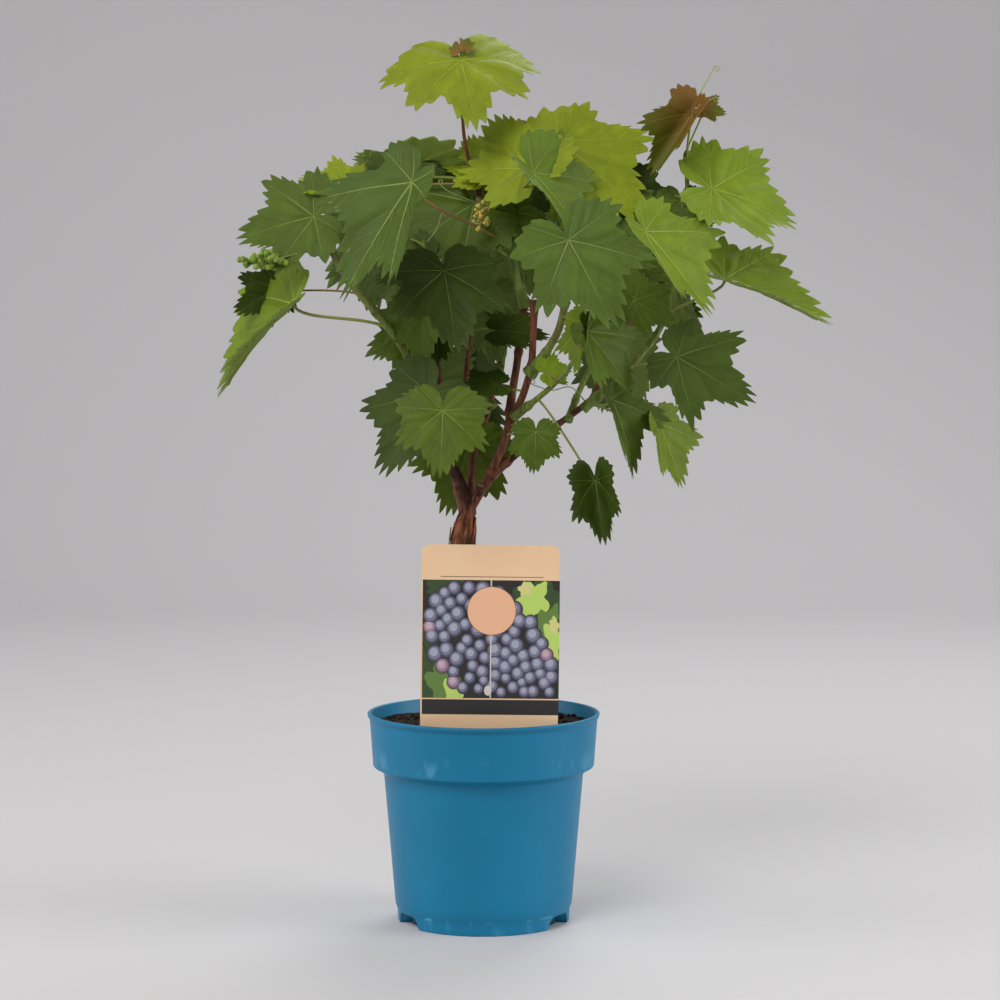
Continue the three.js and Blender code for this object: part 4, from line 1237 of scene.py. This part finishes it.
leaf_materials = []
first_paint = {}
for tint, (top, vein, under) in TINTS.items():
    first_paint[tint] = len(leaf_materials)
    tops = [[bright * part for part in top] for bright in TONE_AND_LIGHT_SHADES]
    if tint == "bronze":
        tops = [[a + (b - a) * share for a, b in zip(top, BRONZE_TIP)]
                for share in np.linspace(0.0, 1.0, len(TONE_AND_LIGHT_SHADES))]
    side_vein = [0.62 * a + 0.38 * b for a, b in zip(top, vein)]
    for number, color in enumerate(tops + [vein, side_vein]):
        blade_finish = Finish(tint + " leaf " + str(number), color, 0.55, Specular_IOR_Level=0.18)
        leaf_materials.append(blade_finish.material)
    under_finish = Finish(tint + " leaf underside", under, 0.65, Specular_IOR_Level=0.15)
    leaf_materials.append(under_finish.material)


def paints_of(tint, shade):
    """A leaf's paints, as add_leaf takes them. A bronze leaf has no shade of its own."""
    first = first_paint[tint]
    vein = first + len(TONE_AND_LIGHT_SHADES)
    side_vein, under = vein + 1, vein + 2
    return first, None if tint == "bronze" else shade, vein, under, side_vein


def mass_middle(node):
    """The middle of the box of a CAD mass of leaves."""
    low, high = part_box(node)
    return (np.array(low) + np.array(high)) / 2


# the mass, the stalk's joint from the mass's middle in mm, facing (round from the front, up), the
# tip's turn clockwise from straight up, length in mm, fold, cup, droop, tint (and its shade, where
# that isn't left to chance, partly painted light and shade for how the leaf lies in the light),
# lobes as edge_reach takes them (1.0 where left out), and the stalk's start in mm from the joint
# where it isn't found by rule
SET_LEAVES = [
    ("leaves_top", (-1, -6, 15), (0, 50), 170, 66, 3, -46, 22, ("young", 3.0), (0.9, 1.50, 0.98), None),
    ("leaves_top", (2, -4, 24), (10, 30), 20, 10, 30, 0, 10, "bronze", 0.4, (0, 3, -24)),
    ("leaves_top", (-3, -3, 22), (-40, 10), 330, 9, 40, 0, 10, "bronze", 0.4, (4, 2, -22)),
    ("leaves_front_left", (16, -24, 19), (-46, 20), 213, 92, 20, -14, 10, ("cool", 1.2), (0.5, 0.62),
     (57, 97, -47)),
    ("leaves_left", (20, -6, 2), (-12, 22), 258, 58, 5, -10, 15, "mid", 0.6, None),
    ("leaves_far_left", (-2, 2, 22), (-64, 36), 224, 96, 26, 0, 20, ("bright", 1.5), (-0.4, 0.6),
     (68, 2, -18)),
    ("leaves_left", (42, 10, 25), (0, 50), 292, 36, 10, 0, 10, ("young", 4.0), 0.5, None),
    ("leaves_middle_left", (4, -5, 20), (8, 38), 174, 64, 5, -20, 20, "dark", 0.6, None),
    ("leaves_behind_left", (29, -3, 6), (-10, 25), 236, 70, 0, -10, 10, "mid", 0.5, None),
    ("leaves_upper_middle", (-15, 14, -12), (-20, 32), 330, 38, 10, 0, 10, ("young", 4.4), 0.3, None),
    ("leaves_upper_middle", (17, -12, -11), (-22, 31), 318, 62, 5, -20, 10, ("young", 4.0), 0.4, None),
    ("leaves_upper_front", (-8, -5, 0), (54, 30), 146, 66, 26, -10, 15, ("mid", 6.0), 0.5, None),
    ("leaves_upper_right", (-24, -3, 12), (8, 32), 134, 79, 5, -15, 15, ("young", 4.0), (0.4, 0.82), None),
    ("leaves_front_right", (-11, -30, 24), (5, 20), 152, 66, 8, -10, 12, "cool", 0.4, None),
    ("leaves_right_middle", (-7, -16, 13), (46, 30), 146, 72, 24, -5, 10, "bright", (0.2, 0.7), None),
    ("leaves_right_tip", (7, -5, 4), (-16, 20), 211, 51, 62, 0, 10, "bronze", (0.5, 0.85), None),
    ("leaves_right_tip", (14, -3, 8), (10, 20), 100, 18, 30, 0, 10, "bronze", 0.5, None),
    ("leaves_right_high", (-17, -5, 11), (20, 40), 104, 69, 16, -18, 26, ("bright", 3.2), 0.2, None),
    ("leaves_far_right", (-17, -2, 3), (38, 58), 122, 84, 26, -6, 14, "bright", (-0.4, 0.7), None),
    ("leaves_right_low", (-20, -28, 12), (5, 22), 121, 60, 5, -10, 10, ("dark", 4.5), (0.7, 0.78), None),
    ("leaves_right_inner", (-24, -6, 18), (38, 26), 143, 52, 14, -10, 15, "mid", (0.4, 0.62), None),
    ("leaves_small_low", (0, -16, 3), (0, 8), 183, 28, 5, -5, 10, "mid", 0.2, None),
    ("leaves_hanging_low", (5, -40, 9), (-10, 6), 170, 43, 54, 8, 5, "dark", 0.3, (-32, 40, 29)),
    ("leaves_low_right", (-13, -17, 30), (52, 15), 158, 58, 30, 0, 22, ("mid", 2.0), (0.8, 0.6), None),
    ("leaves_low_far_right", (7, -10, 12), (52, 12), 158, 49, 18, -5, 8, ("bright", 1.4), (0.3, 0.7), None),
    ("leaves_low_left", (13, -19, 13), (-25, 18), 210, 63, 5, -10, 10, "dark", 0.3, None),
    ("leaves_low_front", (0, -12, 9), (0, 22), 182, 46, 3, -12, 14, ("mid", 2.2), (0.3, 1.15), None),
    ("leaves_low_behind", (5, -3, 19), (0, 8), 198, 54, 5, -10, 8, "mid", 0.3, None),
    ("leaves_low_left", (60, 2, 20), (0, 60), 262, 30, 5, 0, 10, "dark", 0.3, None),
    ("leaves_inner", (10, 1, 34), (170, 5), 190, 38, 5, 0, 10, "mid", 0.3, None),
    ("leaves_inner", (9, -1, 14), (165, -5), 185, 28, 5, 0, 5, "mid", 0.3, None),
    ("leaves_middle_left", (-11, 28, -4), (-35, 15), 172, 44, 15, 0, 10, "mid", 0.3, None),
    ("leaves_middle_left", (45, 38, -23), (0, 55), 92, 34, 5, 0, 15, "dark", 0.4, None),
    ("leaves_small_low", (8, 16, 44), (20, 30), 80, 20, 10, 0, 5, "bright", 0.3, None),
    ("leaves_right_middle", (-13, 22, -35), (15, 20), 120, 34, 5, 0, 10, "mid", 0.5, None),
    ("leaves_middle_behind", (-4, -20, 18), (5, 15), 134, 52, 5, -10, 10, "cool", 0.5, None),
    ("leaves_right_high", (-38, 9, 3), (0, 20), 178, 34, 5, -10, 10, "mid", 0.5, None),
    ("leaves_right_behind", (-4, -14, 38), (0, 25), 200, 38, 5, -10, 10, "mid", 0.5, None),
    ("leaves_upper_right", (-57, 9, -33), (20, 20), 80, 34, 5, 0, 5, "dark", 0.5, None),
    ("leaves_behind_left", (53, -8, 0), (10, 10), 150, 34, 5, 0, 5, "mid", 0.3, None),
    ("leaves_front_left", (22, 59, -34), (-20, 20), 250, 38, 5, 0, 5, "dark", 0.5, None),
    ("leaves_right_inner", (-24, 12, 24), (-66, 15), 176, 36, 20, 0, 8, ("bright", 1.0), 0.3, None),
    ("leaves_left_behind", (6, -1, 2), (20, 0), 240, 34, 5, 0, 5, "dark", 0.6, None),
    ("leaves_middle_behind", (21, -2, 26), (10, 15), 150, 44, 5, 0, 5, "dark", 0.6, None),
    ("leaves_back_low_right", (2, -4, 34), (150, 24), 184, 46, 8, -10, 12, "mid", 0.5, None),
    ("leaves_back_low_right", (-12, 6, 22), (160, 20), 170, 38, 8, -10, 12, "dark", 0.5, None),
    ("leaves_back_high", (-24, -46, -8), (175, 62), 180, 54, 6, -10, 14, "bright", 0.5, None),
    ("leaves_back_high", (44, -50, -30), (160, 58), 170, 50, 6, -10, 14, "mid", 0.4, None),
    ("leaves_back_left_high", (-10, -30, -26), (215, 55), 178, 50, 6, -8, 14, "mid", 0.5, None),
    ("leaves_back_right", (-20, -50, 26), (140, 60), 182, 48, 6, -8, 14, "bright", 0.4, None),
    ("leaves_right_side", (-14, 0, 8), (96, 24), 176, 48, 8, -10, 14, "mid", 0.5, None),
    ("leaves_right_side", (-22, 26, 10), (120, 20), 205, 44, 8, -10, 14, "bright", 0.5, None),
]
# masses whose leaves all grow by the rule: tint of the larger leaf and of its companion
GROWN_MASSES = {
    "leaves_inner_left": ("mid", "dark"), "leaves_back_high": ("bright", "mid"),
    "leaves_back_left_high": ("bright", "mid"), "leaves_back_left": ("mid", "cool"),
    "leaves_back_middle": ("cool", "mid"), "leaves_back_right": ("mid", "bright"),
    "leaves_back_low_left": ("dark", "mid"),
}
# the two leaves of such a mass: size, and how far behind and how far aside the leaf is set
GROWN_PAIR = ((1.0, 0.0, 0.0), (0.74, 0.16, 0.22))
LARGEST_GROWN = 82.0 * MM
REGIONS = {
    "top": ["leaves_upper_middle", "leaves_upper_front", "leaves_upper_right", "leaves_behind_left"],
    "left": ["leaves_front_left", "leaves_left", "leaves_far_left", "leaves_left_behind",
             "leaves_middle_left", "leaves_inner_left"],
    "right": ["leaves_front_right", "leaves_right_middle", "leaves_right_high", "leaves_far_right",
              "leaves_right_behind", "leaves_middle_behind"],
    "low": ["leaves_right_low", "leaves_right_inner", "leaves_small_low", "leaves_hanging_low",
            "leaves_low_right", "leaves_low_far_right", "leaves_low_left", "leaves_low_front",
            "leaves_low_behind", "leaves_inner"],
    "back": ["leaves_back_high", "leaves_back_left_high", "leaves_back_left", "leaves_back_middle",
             "leaves_back_right", "leaves_back_low_left", "leaves_back_low_right", "leaves_right_side"],
    "young": ["leaves_top", "leaves_right_tip"],
}
region_of = {node: region for region, nodes in REGIONS.items() for node in nodes}
crown = {region: MeshMaker() for region in REGIONS}
stalks = MeshMaker()
CROWN_MIDDLE = np.array([20.0, 5.0, 430.0]) * MM
STALK_SIDES = 9
STALK_STEP = 4.5 * MM
stem_points = np.concatenate([path[4:] for path in limb_paths.values()])


def curve(points, steps):
    """A Bezier curve from the first of four points to the last, drawn towards the other two."""
    a, b, c, d = (np.asarray(p, float) for p in points)
    t = np.linspace(0.0, 1.0, steps)[:, None]
    return a * (1 - t) ** 3 + 3 * b * t * (1 - t) ** 2 + 3 * c * t * t * (1 - t) + d * t ** 3


def grow_stalk(blade, start, paint):
    """A stalk from a stem to the blade's joint, swollen a little at both ends."""
    joint, size = blade.base, blade.length
    if start is None:
        gaps = np.linalg.norm(stem_points - joint, axis=1)
        above = np.maximum(stem_points[:, 2] - joint[2] + 0.15 * size, 0.0)
        start = stem_points[np.argmin(np.abs(gaps - 0.6 * size) + 0.5 * gaps + 1.4 * above)]
    else:
        near = joint + np.array(start) * MM
        start = stem_points[np.argmin(np.linalg.norm(stem_points - near, axis=1))]
    span = np.linalg.norm(joint - start)
    arrive = blade.normal * 0.62 - blade.tip * 0.45
    arrive = arrive / np.linalg.norm(arrive)
    leave = (joint - start) / span + np.array([0.0, 0.0, 0.25])
    line = curve((start, start + leave * span * 0.30, joint - arrive * span * 0.24,
                  joint - blade.normal * 0.1 * MM), max(8, int(span / STALK_STEP)))
    shares = np.linspace(0.0, 1.0, len(line))
    thick = 0.62 * MM + 0.0075 * size
    stem_end = 0.5 * np.exp(-(shares / 0.06) ** 2)
    blade_end = 0.25 * np.exp(-((1.0 - shares) / 0.05) ** 2)
    tube(stalks, line, thick * (0.86 + stem_end + blade_end), STALK_SIDES, paint)


leaf_numbers = itertools.count(1)


def set_leaf(node, base, facing, turn, length, fold, cup, droop, tint, lobes, start=None):
    """Adds one leaf to the piece of the mass's region, and its stalk to the leaf stalks."""
    number = next(leaf_numbers)
    dice = np.random.default_rng(1000 + number)
    # a given shade is partly painted light and shade, for how the leaf lies in the light; else it is left
    # to chance
    tint, shade = tint if isinstance(tint, tuple) else (tint, dice.uniform(1.6, 4.4))
    lobes = lobes if isinstance(lobes, tuple) else (lobes,)
    lobes = lobes + (1.0, 1.0)[len(lobes) - 1:]
    blade = Blade(base, facing, turn, length, fold, cup, droop, number)
    add_leaf(crown[region_of[node]], blade, paints_of(tint, shade), lobes)
    grow_stalk(blade, start, int(dice.random() < 0.3))


for node, offset, facing, turn, size, fold, cup, droop, tint, lobes, start in SET_LEAVES:
    base = mass_middle(node) + np.array(offset) * MM
    set_leaf(node, base, facing, turn, size * MM, fold, cup, droop, tint, lobes, start)

for node, tints in GROWN_MASSES.items():
    low, high = (np.array(corner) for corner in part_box(node))
    mass = node_points(node)
    normal = np.linalg.svd(mass - mass.mean(0), full_matrices=False)[2][2]
    outward = mass.mean(0) - CROWN_MIDDLE
    outward = outward / np.linalg.norm(outward) + (0.0, 0.0, 0.4)
    if normal @ outward < 0:
        normal = -normal
    round_turn = math.degrees(math.atan2(normal[0], -normal[1]))
    rise = math.degrees(math.asin(np.clip(normal[2], -1.0, 1.0)))
    reach = np.linalg.norm(high - low) * 0.62
    grow_dice = np.random.default_rng(sum(ord(letter) for letter in node))
    for tint, (share, behind, aside) in zip(tints, GROWN_PAIR):
        size = min(reach, LARGEST_GROWN) * share * grow_dice.uniform(0.90, 1.05)
        facing = (round_turn + grow_dice.uniform(-16.0, 16.0), rise + grow_dice.uniform(-10.0, 12.0))
        turn = 180.0 + grow_dice.uniform(-38.0, 38.0)
        trial = Blade((0.0, 0.0, 0.0), facing, turn, size, 0, 0, 0, 0)
        shift = trial.side * grow_dice.uniform(-0.12, 0.12) * reach - normal * behind * reach
        shift = shift + trial.side * aside * reach * (1 if grow_dice.random() < 0.5 else -1)
        base = mass.mean(0) - trial.tip * 0.34 * size + shift
        set_leaf(node, base, facing, turn, size, grow_dice.uniform(4, 18), -grow_dice.uniform(4, 18),
                 grow_dice.uniform(8, 22), tint, grow_dice.uniform(0.3, 0.7))

for region, nodes in REGIONS.items():
    piece = crown[region].make("leaves_of_" + region, leaf_materials)
    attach(piece, "root")
    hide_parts(*nodes)
stalk_green = Finish("green leaf stalk", (0.215, 0.260, 0.050), 0.5, Specular_IOR_Level=0.2)
stalk_red = Finish("flushed leaf stalk", (0.250, 0.165, 0.060), 0.5, Specular_IOR_Level=0.2)
stalks_piece = stalks.make("leaf_stalks", [stalk_green.material, stalk_red.material])
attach(stalks_piece, "root")


# ---- Tendrils, flower buds and young grapes -----------------------------------------------------
# Thin green tendrils that curl at the tip, a bunch of round green buds on a branching stalk at the
# left and another at the back, and a small yellow one above the middle of the crown.

TENDRIL_WIND = 2.2 * math.pi
TENDRIL_STEPS = 34
BERRY_SIDES = 10
BERRY_ROWS = 6
# where the berries leave a bunch's stalk, as shares of its length
BERRIES_ALONG = (0.64, 0.99)
BERRY_PAINTS = ((0.150, 0.235, 0.022), (0.220, 0.310, 0.045), (0.130, 0.190, 0.035),
                (0.520, 0.400, 0.060), (0.380, 0.340, 0.080))
# paints of the berries of a bunch and, last, of its stalk
GREEN_BUNCH = (0, 1, 2)
YELLOW_BUNCH = (3, 4, 4)
tendrils = MeshMaker()


def run_from(start, points):
    """A smooth line from start through points, which are in mm from it."""
    start = np.array(start)
    return smooth_path([start] + [start + np.array(point) * MM for point in points], 1.5 * MM)


def tendril(start, points, curl, radius):
    """A tendril from start through points, in mm from it, that winds into a small coil at its tip."""
    line = run_from(start, points)
    ahead = tangents(line)[-1]
    across = np.cross(ahead, (0.25, -0.95, 0.2))
    across = across / np.linalg.norm(across)
    turns = np.linspace(0.0, TENDRIL_WIND, TENDRIL_STEPS)[1:]
    shrink = 1.0 - 0.55 * turns / turns[-1]
    centre = line[-1] + across * curl
    coil = [centre - across * curl * s * math.cos(a) + ahead * curl * s * math.sin(a)
            + np.array([0.0, -0.35 * MM, 0.0]) * a for a, s in zip(turns, shrink)]
    line = np.concatenate([line, coil])
    tube(tendrils, line, np.linspace(radius, radius * 0.45, len(line)), 7)


tip_middle = mass_middle("leaves_right_tip")
tendril(tip_middle + np.array((10, -2, 14)) * MM, [(5, 0, 9), (9, 0, 16), (13, 1, 24)],
        2.4 * MM, 0.55 * MM)
tendril(tip_middle + np.array((6, -2, 8)) * MM, [(10, -2, 4), (17, -3, 8)], 2.0 * MM, 0.45 * MM)
tendril(limb_paths["right_cane"][-4], [(-12, -12, 12), (-26, -16, 10), (-40, -20, 14)],
        2.0 * MM, 0.5 * MM)
tendril(limb_paths["crown_shoot"][-6], [(-14, -12, 4), (-26, -20, 9), (-32, -22, 14)],
        1.8 * MM, 0.5 * MM)
tendril(limb_paths["left_upper_shoot"][-3], [(8, -6, 10), (12, -8, 22)], 2.0 * MM, 0.5 * MM)
tendril(limb_paths["back_left_shoot"][-3], [(-14, 8, 12), (-26, 14, 16)], 4.0 * MM, 0.55 * MM)
tendril(limb_paths["back_shoot"][-3], [(8, 10, 14), (16, 18, 24)], 4.0 * MM, 0.55 * MM)
tendril_green = Finish("pale tendril", (0.270, 0.330, 0.110), 0.45)
tendrils_piece = tendrils.make("tendrils", [tendril_green.material])
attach(tendrils_piece, "root")

berries_made = MeshMaker()


def berry(place, size, paint):
    """A small round bud with a slightly pointed end."""
    sides = BERRY_SIDES
    slopes = np.linspace(0.0, math.pi, BERRY_ROWS + 1)[1:-1]
    turns = np.linspace(0.0, 2 * math.pi, sides, endpoint=False)
    rings = [np.stack([np.sin(s) * np.cos(turns), np.sin(s) * np.sin(turns),
                       np.full(sides, math.cos(s) * 1.1)], 1) for s in slopes]
    points = np.concatenate(rings + [[(0.0, 0.0, 1.25)], [(0.0, 0.0, -1.1)]]) * size + place
    count = len(slopes) * sides
    quads = []
    for row in range(len(slopes) - 1):
        for side in range(sides):
            after = (side + 1) % sides
            quads.append((row * sides + after, row * sides + side,
                          (row + 1) * sides + side, (row + 1) * sides + after))
    caps = [(count, i, (i + 1) % sides) for i in range(sides)]
    caps += [(count + 1, count - sides + (i + 1) % sides, count - sides + i) for i in range(sides)]
    berries_made.add(points, (quads, paint), (caps, paint))


def bunch(root, points, reach, count, size, paints, seed):
    """A bunch on a stalk from root through points in mm, with its berries round the stalk's end."""
    dice = np.random.default_rng(seed)
    line = run_from(root, points)
    tube(berries_made, line, np.linspace(0.9, 0.5, len(line)) * MM, 7, paints[-1])
    for _ in range(count):
        index = int(len(line) * dice.uniform(*BERRIES_ALONG))
        way = dice.normal(size=3) * (1.0, 0.8, 0.7)
        place = line[index] + way / np.linalg.norm(way) * reach * dice.uniform(0.45, 1.0)
        twig = curve((line[index], line[index] * 0.6 + place * 0.4,
                      line[index] * 0.3 + place * 0.7, place), 5)
        tube(berries_made, twig, 0.32 * MM, 5, paints[-1])
        berry(place, size * dice.uniform(0.8, 1.15), int(dice.choice(paints[:-1])))


bunch(limb_paths["left_shoot"][-5], [(-18, -4, -3), (-34, -5, -7), (-58, -4, -12)],
      9.5 * MM, 58, 2.2 * MM, GREEN_BUNCH, 3)
bunch(limb_paths["crown_shoot"][-10], [(-2, -14, 10), (-4, -22, 2), (-6, -24, -10)],
      7.0 * MM, 46, 1.4 * MM, YELLOW_BUNCH, 4)
bunch(limb_paths["back_right_shoot"][-12], [(10, 10, 2), (18, 20, -10), (22, 26, -32)],
      9.0 * MM, 46, 2.1 * MM, GREEN_BUNCH, 5)
berry_materials = [Finish("berry " + str(number), color, 0.42, Specular_IOR_Level=0.35).material
                   for number, color in enumerate(BERRY_PAINTS)]
berries_piece = berries_made.make("young_grapes", berry_materials)
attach(berries_piece, "root")
